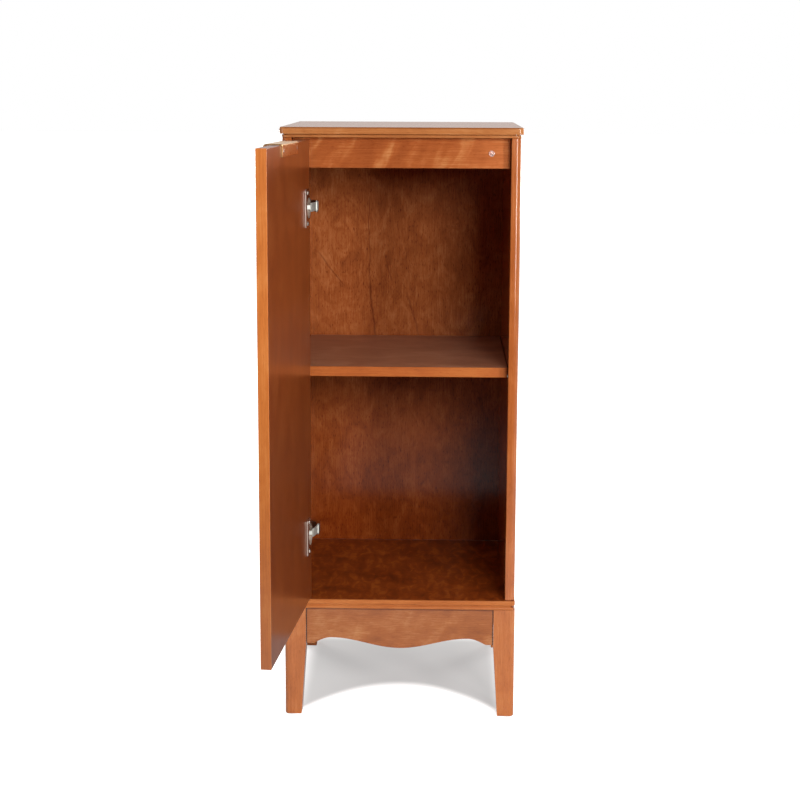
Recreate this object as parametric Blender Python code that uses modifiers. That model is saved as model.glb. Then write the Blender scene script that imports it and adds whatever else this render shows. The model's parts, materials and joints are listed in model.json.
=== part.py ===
"""Linen cabinet on four tapered legs, with one door hung on two concealed cup hinges.

The cabinet stands on the floor at Z = 0 with its front towards -Y. It is drawn round its own middle: X = 0 is
the mid-plane of the case and Y = 0 is the front edge of the sides. The empty called cabinet_frame then moves all
of it, so that the world's origin is the middle of the floor that the cabinet covers with its door open. The door
is drawn shut, round its axis, and the empty called door_axis turns it open, because open is its rest pose.
Lengths are in metres and angles in radians.
"""
import math

import bmesh
import bpy
from mathutils import Matrix, Vector

# Case
HEIGHT = 0.965
CASE_WIDTH = 0.3758
CASE_DEPTH = 0.3545
BOARD = 0.016
SIDE_EDGE_RADIUS = 0.009
EASE = 0.0008
GAP = 0.0003
OVERCUT = 0.004

# Top board, with a thumb-moulded upper step, a sunk line and a narrow lower step
TOP_STEP_HEIGHT = 0.0106
TOP_LINE_HEIGHT = 0.0012
TOP_LINE_DEPTH = 0.0022
TOP_SIDE_REACH = 0.0034
TOP_FRONT_REACH = 0.008
TOP_REAR_REACH = 0.002
TOP_LOWER_FRONT_REACH = 0.002
TOP_CORNER_RADIUS = 0.009
TOP_ARRIS_RADIUS = 0.0028

# Base board, with a flat band, a sunk line and a bead under it
FLOOR_HEIGHT = 0.1993
BASE_BAND_HEIGHT = 0.0078
BASE_LINE_HEIGHT = 0.0028
BASE_LINE_DEPTH = 0.0032
BASE_REACH = 0.004
BASE_SIDE_REACH = 0.0006
BEAD_SETBACK = 0.0014
BASE_CORNER_RADIUS = 0.005
BASE_ARRIS_RADIUS = 0.0018

# Rails, shelf and back
RAIL_HEIGHT = 0.0485
RAIL_SETBACK = 0.0185
SHELF_TOP_HEIGHT = 0.582
SHELF_SETBACK = 0.0207
SHELF_END_CLEARANCE = 0.0008
SHELF_REAR_CLEARANCE = 0.0015
BACK_THICKNESS = 0.003
BACK_RABBET = 0.006

# Shelf pins
PIN_RADIUS = 0.0025
PIN_DEPTH = 0.009
PIN_HEAD_RADIUS = 0.0036
PIN_HEAD_LENGTH = 0.007
PIN_INSET = 0.045

# Stand
LEG_WIDTH = 0.035
LEG_FOOT_WIDTH = 0.0272
LEG_PARALLEL_HEIGHT = 0.062
LEG_CORNER_RADIUS = 0.007
FOOT_EASE = 0.002
STAND_OVERHANG = 0.001
APRON_THICKNESS = 0.016
APRON_SETBACK = 0.0025
APRON_END_HEIGHT = 0.0605
APRON_PEAK_RISE = 0.0102
APRON_BELLY_DROP = 0.0069
APRON_PEAK_SHARE = 0.73
APRON_FLAT_SHARE = 0.92
APRON_STEPS = 16
REAR_APRON_HEIGHT = 0.050
BLOCK_LEG = 0.030
BLOCK_HEIGHT = 0.035

# Door, shut with its face level with the sides' front edges
DOOR_SIDE_GAP = 0.0019
DOOR_TOP_GAP = 0.004
DOOR_BOTTOM_GAP = 0.0022
DOOR_THICKNESS = 0.016
DOOR_EASE = 0.001
OPEN_ANGLE = math.radians(95.2)
AXIS_IN = 0.0077
AXIS_FORWARD = 0.0012

# Edge pull, bent from brass sheet over the door's top edge
PULL_LENGTH = 0.126
PULL_SHEET = 0.0015
PULL_DROP = 0.0172
PULL_REACH = 0.011
PULL_BEND_RADIUS = 0.0012
PULL_CURL_RADIUS = 0.0045
PULL_CURL_DROP = 0.0035
PULL_CENTRE_SHARE = 0.503

# Concealed hinges
HINGE_UPPER_DROP = 0.1052
HINGE_LOWER_RISE = 0.1102
CUP_RADIUS = 0.0172
CUP_WALL = 0.0005
CUP_DEPTH = 0.0129
CUP_PIN_RADIUS = 0.0009
CUP_PIN_HALF_LENGTH = 0.0118
CUP_TAB = 0.003
FLANGE_HEIGHT = 0.0605
FLANGE_WIDTH = 0.0275
FLANGE_OFFSET = 0.0125
FLANGE_THICKNESS = 0.0022
FLANGE_EASE = 0.0003
FLANGE_CORNER_RADIUS = 0.005
RIM_RADIUS = 0.0187
LINK_PIN_IN = 0.00825
LINK_PIN_DEPTH = 0.003
LINK_REACH = 0.0355
LINK_HALF_HEIGHT = 0.0068
LINK_END_HALF_HEIGHT = 0.0032
LINK_END_SHARE = 0.88
LINK_SHOULDER = 0.0015
LINK_SHEET = 0.001
LINK_EYE_RADIUS = 0.0023
NECK_SHARES = ((0, 0), (0.20, 0.05), (0.40, 0.10), (0.60, 0.165), (0.78, 0.205), (0.92, 0.18))
HOOK_START = math.radians(75)
HOOK_END = math.radians(-60)
HOOK_SEGMENTS = 7
AXLE_RADIUS = 0.0013
AXLE_PROUD = 0.0008
AXLE_CLEARANCE = 0.0003
ARM_SHEET = 0.0013
ARM_SIDE_CLEARANCE = 0.0004
ARM_EAR_RADIUS = 0.0026
ARM_BASE_RISE = 0.0085
ARM_BASE_FRONT = 0.058
ARM_LENGTH = 0.098
ARM_BEND_FRONT = 0.031
PLATE_HEIGHT = 0.050
PLATE_WING_LENGTH = 0.011
PLATE_WING_CENTRE = 0.064
PLATE_THICKNESS = 0.0022
PLATE_RIDGE_HEIGHT = 0.0045
PLATE_RIDGE_HALF_WIDTH = 0.0045
PLATE_RIDGE_FRONT = 0.052
PLATE_RIDGE_REAR = 0.094

# Door bumper
BUMPER_RADIUS = 0.0049
BUMPER_THICKNESS = 0.0019
BUMPER_INSET = 0.0304
BUMPER_DROP = 0.0249

# Facets
CORNER_SEGMENTS = 5
ARRIS_SEGMENTS = 3
ROUND_SEGMENTS = 32
SMALL_ROUND_SEGMENTS = 16
BEND_SEGMENTS = 4

# What follows from the sizes
OPENING_WIDTH = CASE_WIDTH - 2 * BOARD
UNDER_TOP = HEIGHT - BOARD
UNDER_BASE = FLOOR_HEIGHT - BOARD
DOOR_LEFT = -OPENING_WIDTH / 2 + DOOR_SIDE_GAP
DOOR_WIDTH = OPENING_WIDTH - 2 * DOOR_SIDE_GAP
DOOR_BOTTOM = FLOOR_HEIGHT + DOOR_BOTTOM_GAP
DOOR_TOP = UNDER_TOP - DOOR_TOP_GAP
HINGE_HEIGHTS = {"upper": DOOR_TOP - HINGE_UPPER_DROP, "lower": DOOR_BOTTOM + HINGE_LOWER_RISE}
AXIS = Vector((DOOR_LEFT + AXIS_IN, -AXIS_FORWARD, 0))
STAND_HALF_WIDTH = CASE_WIDTH / 2 + STAND_OVERHANG
BACK_FRONT = CASE_DEPTH - BACK_THICKNESS - GAP
CUP_CENTRE = CUP_TAB + CUP_RADIUS
PULL_TOP_OUT = DOOR_THICKNESS + PULL_REACH

CHERRY = ((0.42, 0.155, 0.055), 0.32, 0.0)
CHERRY_DARK = ((0.30, 0.10, 0.035), 0.40, 0.0)
BRASS_SHEET = ((0.72, 0.50, 0.22), 0.30, 1.0)
NICKEL = ((0.66, 0.62, 0.58), 0.28, 1.0)
CLEAR_RUBBER = ((0.80, 0.72, 0.68), 0.45, 0.0)


def clear_scene():
    """Removes every object that the new scene starts with."""
    for item in list(bpy.data.objects):
        bpy.data.objects.remove(item, do_unlink=True)


def new_collection(name):
    """Returns a new collection in the scene."""
    collection = bpy.data.collections.new(name)
    bpy.context.scene.collection.children.link(collection)
    return collection


def turned(vector, angle):
    """Returns the vector turned about Z."""
    return Matrix.Rotation(angle, 3, "Z") @ vector


def finish(item, look):
    """Gives an object its own material, with the colour, roughness and metallic value of its look."""
    colour, roughness, metallic = look
    material = bpy.data.materials.new(item.name)
    material.use_nodes = True
    shader = material.node_tree.nodes["Principled BSDF"]
    shader.inputs["Base Color"].default_value = (*colour, 1)
    shader.inputs["Roughness"].default_value = roughness
    shader.inputs["Metallic"].default_value = metallic
    item.data.materials.clear()
    item.data.materials.append(material)


def add_mesh(name, mesh_builder, collection, parent=None, look=None):
    """Makes an object from a filled bmesh, links it, parents it and gives it its look."""
    mesh = bpy.data.meshes.new(name)
    bmesh.ops.recalc_face_normals(mesh_builder, faces=mesh_builder.faces)
    mesh_builder.to_mesh(mesh)
    mesh_builder.free()
    item = bpy.data.objects.new(name, mesh)
    collection.objects.link(item)
    item.parent = parent
    if look:
        finish(item, look)
    else:
        item.hide_render = True
        item.display_type = "WIRE"
    return item


def block(low, high):
    """Returns a bmesh that holds one box between two corners."""
    low, high = Vector(low), Vector(high)
    box = bmesh.new()
    bmesh.ops.create_cube(box, size=1)
    size = high - low
    bmesh.ops.scale(box, vec=size, verts=box.verts)
    bmesh.ops.translate(box, vec=(low + high) / 2, verts=box.verts)
    return box


def rod(radius, start, end, segments=ROUND_SEGMENTS):
    """Returns a bmesh that holds one cylinder between the centres of its two ends."""
    start, end = Vector(start), Vector(end)
    along = end - start
    cylinder = bmesh.new()
    place = Matrix.Translation((start + end) / 2) @ along.to_track_quat("Z", "Y").to_matrix().to_4x4()
    bmesh.ops.create_cone(cylinder, cap_ends=True, segments=segments, radius1=radius, radius2=radius,
                          depth=along.length, matrix=place)
    return cylinder


def vertical_edges(box, chooser):
    """Lists the upright edges whose foot the chooser accepts, by X and Y."""
    chosen = []
    for edge in box.edges:
        first, second = (vertex.co for vertex in edge.verts)
        upright = abs(first.x - second.x) < EASE and abs(first.y - second.y) < EASE
        if upright and chooser(first.x, first.y):
            chosen.append(edge)
    return chosen


def round_edges(box, edges, radius, segments=CORNER_SEGMENTS):
    """Rounds the listed edges of a bmesh."""
    bmesh.ops.bevel(box, geom=edges, offset=radius, segments=segments, profile=0.5, affect="EDGES")


def ease(item, radius=EASE, segments=1):
    """Takes the sharpness off an object's edges with a Bevel modifier."""
    bevel = item.modifiers.new("eased edges", "BEVEL")
    bevel.width = radius
    bevel.segments = segments
    bevel.limit_method = "ANGLE"
    bevel.angle_limit = math.radians(40)


def combine(item, other, operation):
    """Adds a Boolean of another object to an object."""
    boolean = item.modifiers.new(other.name, "BOOLEAN")
    boolean.operation = operation
    boolean.object = other
    boolean.solver = "EXACT"


def cut(item, cutters, name, tool):
    """Cuts an object with a new cutter made from a bmesh, in the same frame as the object."""
    combine(item, add_mesh(name, tool, cutters, item.parent), "DIFFERENCE")


def join(item, cutters, name, tool):
    """Joins a new shape made from a bmesh to an object, in the same frame as the object."""
    combine(item, add_mesh(name, tool, cutters, item.parent), "UNION")


def soften(item):
    """Shades an object smooth, save where its faces meet at a clear angle."""
    item.data.shade_smooth()
    item.data.set_sharp_from_angle(angle=math.radians(35))


def outline_plate(name, points, thickness, collection):
    """Returns a bmesh of a flat outline in X and Y, with its thickness centred on Z = 0."""
    curve = bpy.data.curves.new(name, "CURVE")
    curve.dimensions = "2D"
    curve.fill_mode = "BOTH"
    curve.extrude = thickness / 2
    spline = curve.splines.new("POLY")
    spline.points.add(len(points) - 1)
    for place, point in zip(spline.points, points):
        place.co = (point[0], point[1], 0, 1)
    spline.use_cyclic_u = True
    guide = bpy.data.objects.new(name, curve)
    collection.objects.link(guide)
    bpy.context.view_layer.update()
    mesh = bpy.data.meshes.new_from_object(guide.evaluated_get(bpy.context.evaluated_depsgraph_get()))
    plate = bmesh.new()
    plate.from_mesh(mesh)
    bmesh.ops.remove_doubles(plate, verts=plate.verts, dist=GAP / 10)
    bpy.data.objects.remove(guide, do_unlink=True)
    bpy.data.meshes.remove(mesh)
    return plate


def moved(shape, matrix):
    """Returns the bmesh after a matrix has moved it."""
    bmesh.ops.transform(shape, matrix=matrix, verts=shape.verts)
    return shape


def arc(centre, radius, start, end, steps):
    """Lists the points of an arc in a plane, from one angle to another."""
    turns = (start + (end - start) * step / steps for step in range(steps + 1))
    return [(centre[0] + radius * math.cos(turn), centre[1] + radius * math.sin(turn)) for turn in turns]


def moulded_step(low, high, corner, arris, arris_side):
    """Returns a board's step, with round corners and its upper, lower or both long edges rounded over."""
    step = block(low, high)
    round_edges(step, vertical_edges(step, lambda x, y: True), corner)
    top, bottom = high[2], low[2]
    levels = {"upper": (top,), "lower": (bottom,), "both": (top, bottom)}[arris_side]
    for level in levels:
        rim = [edge for edge in step.edges
               if all(abs(vertex.co.z - level) < EASE / 4 for vertex in edge.verts) and edge.is_manifold
               and any(abs(face.normal.z) < 0.5 for face in edge.link_faces)
               and any(abs(face.normal.z) > 0.5 for face in edge.link_faces)]
        round_edges(step, rim, arris, ARRIS_SEGMENTS)
    return step


def make_top_board(parts, cutters, frame):
    """Makes the top from its upper step, its sunk line and its lower step."""
    half = CASE_WIDTH / 2
    reach = half + TOP_SIDE_REACH
    rear = CASE_DEPTH + TOP_REAR_REACH
    line_top = HEIGHT - TOP_STEP_HEIGHT
    line_bottom = line_top - TOP_LINE_HEIGHT
    upper = moulded_step((-reach, -TOP_FRONT_REACH, line_top), (reach, rear, HEIGHT),
                         TOP_CORNER_RADIUS, TOP_ARRIS_RADIUS, "upper")
    top = add_mesh("top_board", upper, parts, frame, CHERRY)
    lap = TOP_LINE_HEIGHT / 2
    line = moulded_step((-half + TOP_LINE_DEPTH, -TOP_LOWER_FRONT_REACH + TOP_LINE_DEPTH, line_bottom - lap),
                        (half - TOP_LINE_DEPTH, rear - TOP_LINE_DEPTH, line_top + lap),
                        TOP_CORNER_RADIUS, EASE / 4, "upper")
    lower = moulded_step((-half, -TOP_LOWER_FRONT_REACH, UNDER_TOP), (half, rear - TOP_REAR_REACH, line_bottom),
                         TOP_CORNER_RADIUS, TOP_LINE_HEIGHT, "upper")
    join(top, cutters, "top_line", line)
    join(top, cutters, "top_lower_step", lower)
    soften(top)


def make_base_board(parts, cutters, frame):
    """Makes the case's floor from its band, its sunk line and its bead."""
    half = CASE_WIDTH / 2 + BASE_SIDE_REACH
    rear = CASE_DEPTH
    line_top = FLOOR_HEIGHT - BASE_BAND_HEIGHT
    line_bottom = line_top - BASE_LINE_HEIGHT
    band = moulded_step((-half, -BASE_REACH, line_top), (half, rear, FLOOR_HEIGHT),
                        BASE_CORNER_RADIUS, BASE_ARRIS_RADIUS, "both")
    base = add_mesh("base_board", band, parts, frame, CHERRY)
    lap = BASE_LINE_HEIGHT / 4
    line = moulded_step((-half + BASE_LINE_DEPTH, -BASE_REACH + BASE_LINE_DEPTH, line_bottom - lap),
                        (half - BASE_LINE_DEPTH, rear - BASE_LINE_DEPTH, line_top + lap),
                        BASE_CORNER_RADIUS, EASE / 4, "upper")
    bead_front = -BASE_REACH + BEAD_SETBACK
    bead = moulded_step((-half + BEAD_SETBACK, bead_front, UNDER_BASE), (half - BEAD_SETBACK, rear, line_bottom),
                        BASE_CORNER_RADIUS, (line_bottom - UNDER_BASE) * 0.45, "both")
    join(base, cutters, "base_line", line)
    join(base, cutters, "base_bead", bead)
    soften(base)


def make_side(parts, cutters, frame, name, hand):
    """Makes one side panel, with a round front edge, a rabbet for the back and two bores for shelf pins."""
    inner, outer = hand * OPENING_WIDTH / 2, hand * CASE_WIDTH / 2
    low = (min(inner, outer), 0, FLOOR_HEIGHT + GAP)
    high = (max(inner, outer), CASE_DEPTH, UNDER_TOP - GAP)
    panel = block(low, high)
    round_edges(panel, vertical_edges(panel, lambda x, y: abs(x - outer) < EASE and abs(y) < EASE), SIDE_EDGE_RADIUS)
    side = add_mesh(name, panel, parts, frame, CHERRY)
    ease(side)
    rabbet = hand * (OPENING_WIDTH / 2 + BACK_RABBET + GAP)
    mouth = hand * (OPENING_WIDTH / 2 - OVERCUT)
    cut(side, cutters, name + "_rabbet",
        block((min(rabbet, mouth), BACK_FRONT - GAP, low[2] - OVERCUT),
              (max(rabbet, mouth), CASE_DEPTH + OVERCUT, high[2] + OVERCUT)))
    for place, depth in shelf_pin_places():
        bottom = hand * (OPENING_WIDTH / 2 + PIN_DEPTH + GAP)
        cut(side, cutters, name + "_bore_" + place,
            rod(PIN_RADIUS + GAP, (mouth, depth, pin_height()), (bottom, depth, pin_height()), SMALL_ROUND_SEGMENTS))


def pin_height():
    """Returns the height of the shelf pins' axes, which lets the shelf rest on their heads."""
    return SHELF_TOP_HEIGHT - BOARD - GAP - PIN_HEAD_RADIUS


def shelf_pin_places():
    """Lists the names and depths of the front and rear pins."""
    return (("front", SHELF_SETBACK + PIN_INSET), ("rear", BACK_FRONT - PIN_INSET))


def make_shelf(parts, frame):
    """Makes the shelf, a little short of the sides and set back behind the shut door."""
    half = OPENING_WIDTH / 2 - SHELF_END_CLEARANCE
    board = block((-half, SHELF_SETBACK, SHELF_TOP_HEIGHT - BOARD),
                  (half, BACK_FRONT - SHELF_REAR_CLEARANCE, SHELF_TOP_HEIGHT))
    ease(add_mesh("shelf", board, parts, frame, CHERRY))


def make_shelf_pins(parts, frame):
    """Turns the four shelf pins, each a peg in the side with a round head under the shelf."""
    for side, hand in (("left", -1), ("right", 1)):
        for place, depth in shelf_pin_places():
            name = f"shelf_pin_{place}_{side}"
            tip = PIN_DEPTH
            head = PIN_HEAD_LENGTH
            chamfer = PIN_RADIUS / 4
            profile = ((0, -head), (PIN_HEAD_RADIUS - chamfer, -head), (PIN_HEAD_RADIUS, -head + chamfer),
                       (PIN_HEAD_RADIUS, -GAP), (PIN_RADIUS, -GAP), (PIN_RADIUS, tip - chamfer),
                       (PIN_RADIUS - chamfer, tip), (0, tip))
            pin = lathe(name, profile, SMALL_ROUND_SEGMENTS, parts, frame, NICKEL)
            pin.rotation_euler = (0, hand * math.pi / 2, 0)
            pin.location = (hand * OPENING_WIDTH / 2, depth, pin_height())


def lathe(name, profile, segments, parts, frame, look):
    """Turns a profile of radii and heights, listed bottom to top, round Z with a Screw modifier."""
    mesh = bpy.data.meshes.new(name)
    points = [(radius, 0, height) for radius, height in reversed(profile)]
    mesh.from_pydata(points, [(index, index + 1) for index in range(len(points) - 1)], [])
    item = bpy.data.objects.new(name, mesh)
    parts.objects.link(item)
    item.parent = frame
    screw = item.modifiers.new("turned", "SCREW")
    screw.steps = segments
    screw.render_steps = segments
    screw.use_merge_vertices = True
    screw.merge_threshold = GAP / 10
    screw.use_smooth_shade = False
    finish(item, look)
    return item


def make_rails(parts, frame):
    """Makes the front top rail, which the shut door covers, and the rear one that holds the back and the top."""
    half = OPENING_WIDTH / 2 - GAP
    bottom = UNDER_TOP - RAIL_HEIGHT
    top = UNDER_TOP - GAP
    front = block((-half, RAIL_SETBACK, bottom), (half, RAIL_SETBACK + BOARD, top))
    ease(add_mesh("top_rail", front, parts, frame, CHERRY))
    rear_face = BACK_FRONT - GAP
    rear = block((-half, rear_face - BOARD, bottom), (half, rear_face, top))
    ease(add_mesh("rear_rail", rear, parts, frame, CHERRY_DARK))


def make_back(parts, frame):
    """Makes the thin back panel, which lies in the sides' rabbets."""
    half = OPENING_WIDTH / 2 + BACK_RABBET
    panel = block((-half, BACK_FRONT, FLOOR_HEIGHT + GAP), (half, BACK_FRONT + BACK_THICKNESS, UNDER_TOP - GAP))
    add_mesh("back_panel", panel, parts, frame, CHERRY)


def make_leg(parts, frame, name, hand, face):
    """Makes one leg: square at the top, tapered below on its two inner faces, with a round outer corner."""
    outer_x = hand * STAND_HALF_WIDTH
    outer_y = 0 if face < 0 else CASE_DEPTH
    inner_x = outer_x - hand * LEG_WIDTH
    inner_y = outer_y - face * LEG_WIDTH
    top = UNDER_BASE - GAP
    leg = block((min(outer_x, inner_x), min(outer_y, inner_y), 0), (max(outer_x, inner_x), max(outer_y, inner_y), top))
    taper_top = top - LEG_PARALLEL_HEIGHT
    bmesh.ops.bisect_plane(leg, geom=leg.verts[:] + leg.edges[:] + leg.faces[:], plane_co=(0, 0, taper_top),
                           plane_no=(0, 0, 1))
    taper = LEG_WIDTH - LEG_FOOT_WIDTH
    for vertex in leg.verts:
        if vertex.co.z < taper_top / 2:
            if abs(vertex.co.x - inner_x) < EASE:
                vertex.co.x += hand * taper
            if abs(vertex.co.y - inner_y) < EASE:
                vertex.co.y += face * taper
    round_edges(leg, vertical_edges(leg, lambda x, y: abs(x - outer_x) < EASE and abs(y - outer_y) < EASE),
                LEG_CORNER_RADIUS)
    sole = [edge for edge in leg.edges if all(abs(vertex.co.z) < EASE / 4 for vertex in edge.verts)]
    round_edges(leg, sole, FOOT_EASE, 2)
    soften(add_mesh(name, leg, parts, frame, CHERRY))


def scallop(half_length):
    """Lists an apron's lower edge: flat ends, a quick rise to a peak, and a long fall to a belly in the middle."""
    end, flat, peak = half_length, half_length * APRON_FLAT_SHARE, half_length * APRON_PEAK_SHARE
    low = -APRON_END_HEIGHT
    high = low + APRON_PEAK_RISE
    belly = low - APRON_BELLY_DROP
    half = [(end, low)]
    quick = APRON_STEPS // 2
    for step in range(quick + 1):
        share = step / quick
        half.append((flat + (peak - flat) * share, low + (high - low) * math.sin(share * math.pi / 2)))
    for step in range(1, APRON_STEPS + 1):
        share = step / APRON_STEPS
        half.append((peak * (1 - share), high + (belly - high) * (1 - math.cos(share * math.pi)) / 2))
    mirror = [(-x, z) for x, z in reversed(half[:-1])]
    return half + mirror


def make_apron(parts, cutters, frame, name, half_length, lower_edge, place):
    """Makes an apron from its outline, drawn in length and height and then stood up where it belongs."""
    outline = [(-half_length, 0)] + [(half_length, 0)] + lower_edge
    plate = outline_plate(name + "_outline", outline, APRON_THICKNESS, cutters)
    stand = place @ Matrix.Rotation(math.pi / 2, 4, "X")
    add_mesh(name, moved(plate, stand), parts, frame, CHERRY)


def make_aprons(parts, cutters, frame):
    """Makes the scalloped front and side aprons and the straight rear one, each between two legs."""
    top = UNDER_BASE - GAP
    across = STAND_HALF_WIDTH - LEG_WIDTH - GAP
    along = CASE_DEPTH / 2 - LEG_WIDTH - GAP
    centre = APRON_SETBACK + APRON_THICKNESS / 2
    make_apron(parts, cutters, frame, "front_apron", across, scallop(across), Matrix.Translation((0, centre, top)))
    straight = [(across, -REAR_APRON_HEIGHT), (-across, -REAR_APRON_HEIGHT)]
    make_apron(parts, cutters, frame, "rear_apron", across, straight,
               Matrix.Translation((0, CASE_DEPTH - centre, top)))
    quarter = Matrix.Rotation(math.pi / 2, 4, "Z")
    for side, hand in (("left", -1), ("right", 1)):
        place = Matrix.Translation((hand * (STAND_HALF_WIDTH - centre), CASE_DEPTH / 2, top)) @ quarter
        make_apron(parts, cutters, frame, f"{side}_apron", along, scallop(along), place)


def make_corner_blocks(parts, cutters, frame):
    """Makes the four glue blocks that tie each pair of aprons together behind a leg, under the base board."""
    inner = APRON_SETBACK + APRON_THICKNESS + GAP
    reach = LEG_WIDTH + BLOCK_LEG
    hidden = LEG_WIDTH + GAP
    points = ((hidden, inner), (reach, inner), (inner, reach), (inner, hidden), (hidden, hidden))
    for end, face in (("front", -1), ("rear", 1)):
        for side, hand in (("left", -1), ("right", 1)):
            corner_x = hand * STAND_HALF_WIDTH
            corner_y = 0 if face < 0 else CASE_DEPTH
            outline = [(corner_x - hand * x, corner_y - face * y) for x, y in points]
            name = f"corner_block_{end}_{side}"
            plate = outline_plate(name + "_outline", outline, BLOCK_HEIGHT, cutters)
            place = Matrix.Translation((0, 0, UNDER_BASE - GAP - BLOCK_HEIGHT / 2))
            add_mesh(name, moved(plate, place), parts, frame, CHERRY_DARK)


def make_door_panel(parts, cutters, door_axis):
    """Makes the door's slab in the shut pose, with a round pocket for each hinge cup."""
    left = DOOR_LEFT - AXIS.x
    front = -AXIS.y
    slab = block((left, front, DOOR_BOTTOM), (left + DOOR_WIDTH, front + DOOR_THICKNESS, DOOR_TOP))
    door = add_mesh("door_panel", slab, parts, door_axis, CHERRY)
    ease(door, DOOR_EASE, 2)
    inner_face = front + DOOR_THICKNESS
    pocket_radius = CUP_RADIUS + GAP
    for place, height in HINGE_HEIGHTS.items():
        centre = left + CUP_CENTRE
        cut(door, cutters, "cup_pocket_" + place,
            rod(pocket_radius, (centre, inner_face - CUP_DEPTH - GAP, height),
                (centre, inner_face + OVERCUT, height)))


def pull_profile():
    """Lists the pull's middle line across the door: up its inner face, over its top and down in front of it."""
    half = PULL_SHEET / 2
    inner = GAP + half
    top = GAP + half
    bend = PULL_BEND_RADIUS + half
    curl = PULL_CURL_RADIUS
    front = PULL_TOP_OUT - half
    profile = [(-inner, -PULL_DROP)]
    profile += arc((-inner + bend, top - bend), bend, math.pi, math.pi / 2, BEND_SEGMENTS)
    profile += arc((front - curl, top - curl), curl, math.pi / 2, 0, BEND_SEGMENTS * 2)
    profile.append((front, top - curl - PULL_CURL_DROP))
    return profile


def make_edge_pull(parts, door_axis):
    """Bends the brass pull from its profile and gives the sheet its thickness."""
    left = DOOR_LEFT - AXIS.x
    inner_face = DOOR_THICKNESS - AXIS.y
    centre = left + DOOR_WIDTH * PULL_CENTRE_SHARE
    sheet = bmesh.new()
    for x in (centre - PULL_LENGTH / 2, centre + PULL_LENGTH / 2):
        line = [sheet.verts.new((x, inner_face - out, DOOR_TOP + up)) for out, up in pull_profile()]
        for first, second in zip(line, line[1:]):
            sheet.edges.new((first, second))
    bmesh.ops.bridge_loops(sheet, edges=sheet.edges[:])
    pull = add_mesh("edge_pull", sheet, parts, door_axis, BRASS_SHEET)
    wall = pull.modifiers.new("sheet thickness", "SOLIDIFY")
    wall.thickness = PULL_SHEET
    wall.offset = 0
    wall.use_even_offset = True
    ease(pull, PULL_SHEET / 5, 2)


def make_hinge_cup(parts, cutters, door_axis, place, height):
    """Makes a hinge's cup with its rim and its flange, sunk in the door's inner face."""
    left = DOOR_LEFT - AXIS.x
    inner_face = DOOR_THICKNESS - AXIS.y
    centre = left + CUP_CENTRE
    seat = inner_face + GAP
    wing = left + CUP_CENTRE + FLANGE_OFFSET
    flange = block((wing - FLANGE_WIDTH / 2, seat, height - FLANGE_HEIGHT / 2),
                   (wing + FLANGE_WIDTH / 2, seat + FLANGE_THICKNESS, height + FLANGE_HEIGHT / 2))
    corners = [edge for edge in flange.edges
               if abs(edge.verts[0].co.y - edge.verts[1].co.y) > FLANGE_THICKNESS / 2]
    round_edges(flange, corners, FLANGE_CORNER_RADIUS)
    cup = add_mesh("hinge_cup_" + place, flange, parts, door_axis, NICKEL)
    ease(cup, FLANGE_EASE)
    rim = rod(RIM_RADIUS, (centre, seat, height), (centre, seat + FLANGE_THICKNESS, height))
    lips = [edge for edge in rim.edges if all(vertex.co.y > seat + FLANGE_EASE for vertex in edge.verts)]
    round_edges(rim, lips, FLANGE_EASE, 1)
    join(cup, cutters, "cup_rim_" + place, rim)
    join(cup, cutters, "cup_shell_" + place,
         rod(CUP_RADIUS, (centre, inner_face - CUP_DEPTH, height), (centre, seat + FLANGE_THICKNESS / 2, height)))
    cut(cup, cutters, "cup_hollow_" + place,
        rod(CUP_RADIUS - CUP_WALL, (centre, inner_face - CUP_DEPTH + CUP_WALL, height),
            (centre, seat + FLANGE_THICKNESS + OVERCUT, height)))
    pin_x, pin_y = left + LINK_PIN_IN, inner_face - LINK_PIN_DEPTH
    join(cup, cutters, "cup_pin_" + place,
         rod(CUP_PIN_RADIUS, (pin_x, pin_y, height - CUP_PIN_HALF_LENGTH),
             (pin_x, pin_y, height + CUP_PIN_HALF_LENGTH), SMALL_ROUND_SEGMENTS))


def link_places():
    """Works out the link's pivot on the arm, its length, its direction with the door open, and how far it turns.

    The pivot stands on the line that halves the angle, seen from the door's axis, between the two places of the
    link's pin in the cup: so the pin is as far from the pivot with the door open as with it shut.
    """
    shut = Vector((DOOR_LEFT + LINK_PIN_IN, DOOR_THICKNESS - LINK_PIN_DEPTH, 0)) - AXIS
    middle = math.atan2(shut.y, shut.x) - OPEN_ANGLE / 2
    pivot = AXIS + LINK_REACH * Vector((math.cos(middle), math.sin(middle), 0))
    to_open = AXIS + turned(shut, -OPEN_ANGLE) - pivot
    to_shut = AXIS + shut - pivot
    direction = math.atan2(to_open.y, to_open.x)
    turn = math.atan2(to_shut.y, to_shut.x) - direction
    return pivot, to_open.length, direction, turn


def strip_outline(line, thickness):
    """Lists the outline of a strip of even thickness along a line of points in a plane."""
    upper, lower = [], []
    for index, point in enumerate(line):
        before = Vector(line[max(index - 1, 0)])
        after = Vector(line[min(index + 1, len(line) - 1)])
        along = (after - before).normalized()
        side = Vector((-along.y, along.x)) * thickness / 2
        upper.append(tuple(Vector(point) + side))
        lower.append(tuple(Vector(point) - side))
    return upper + lower[::-1]


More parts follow.
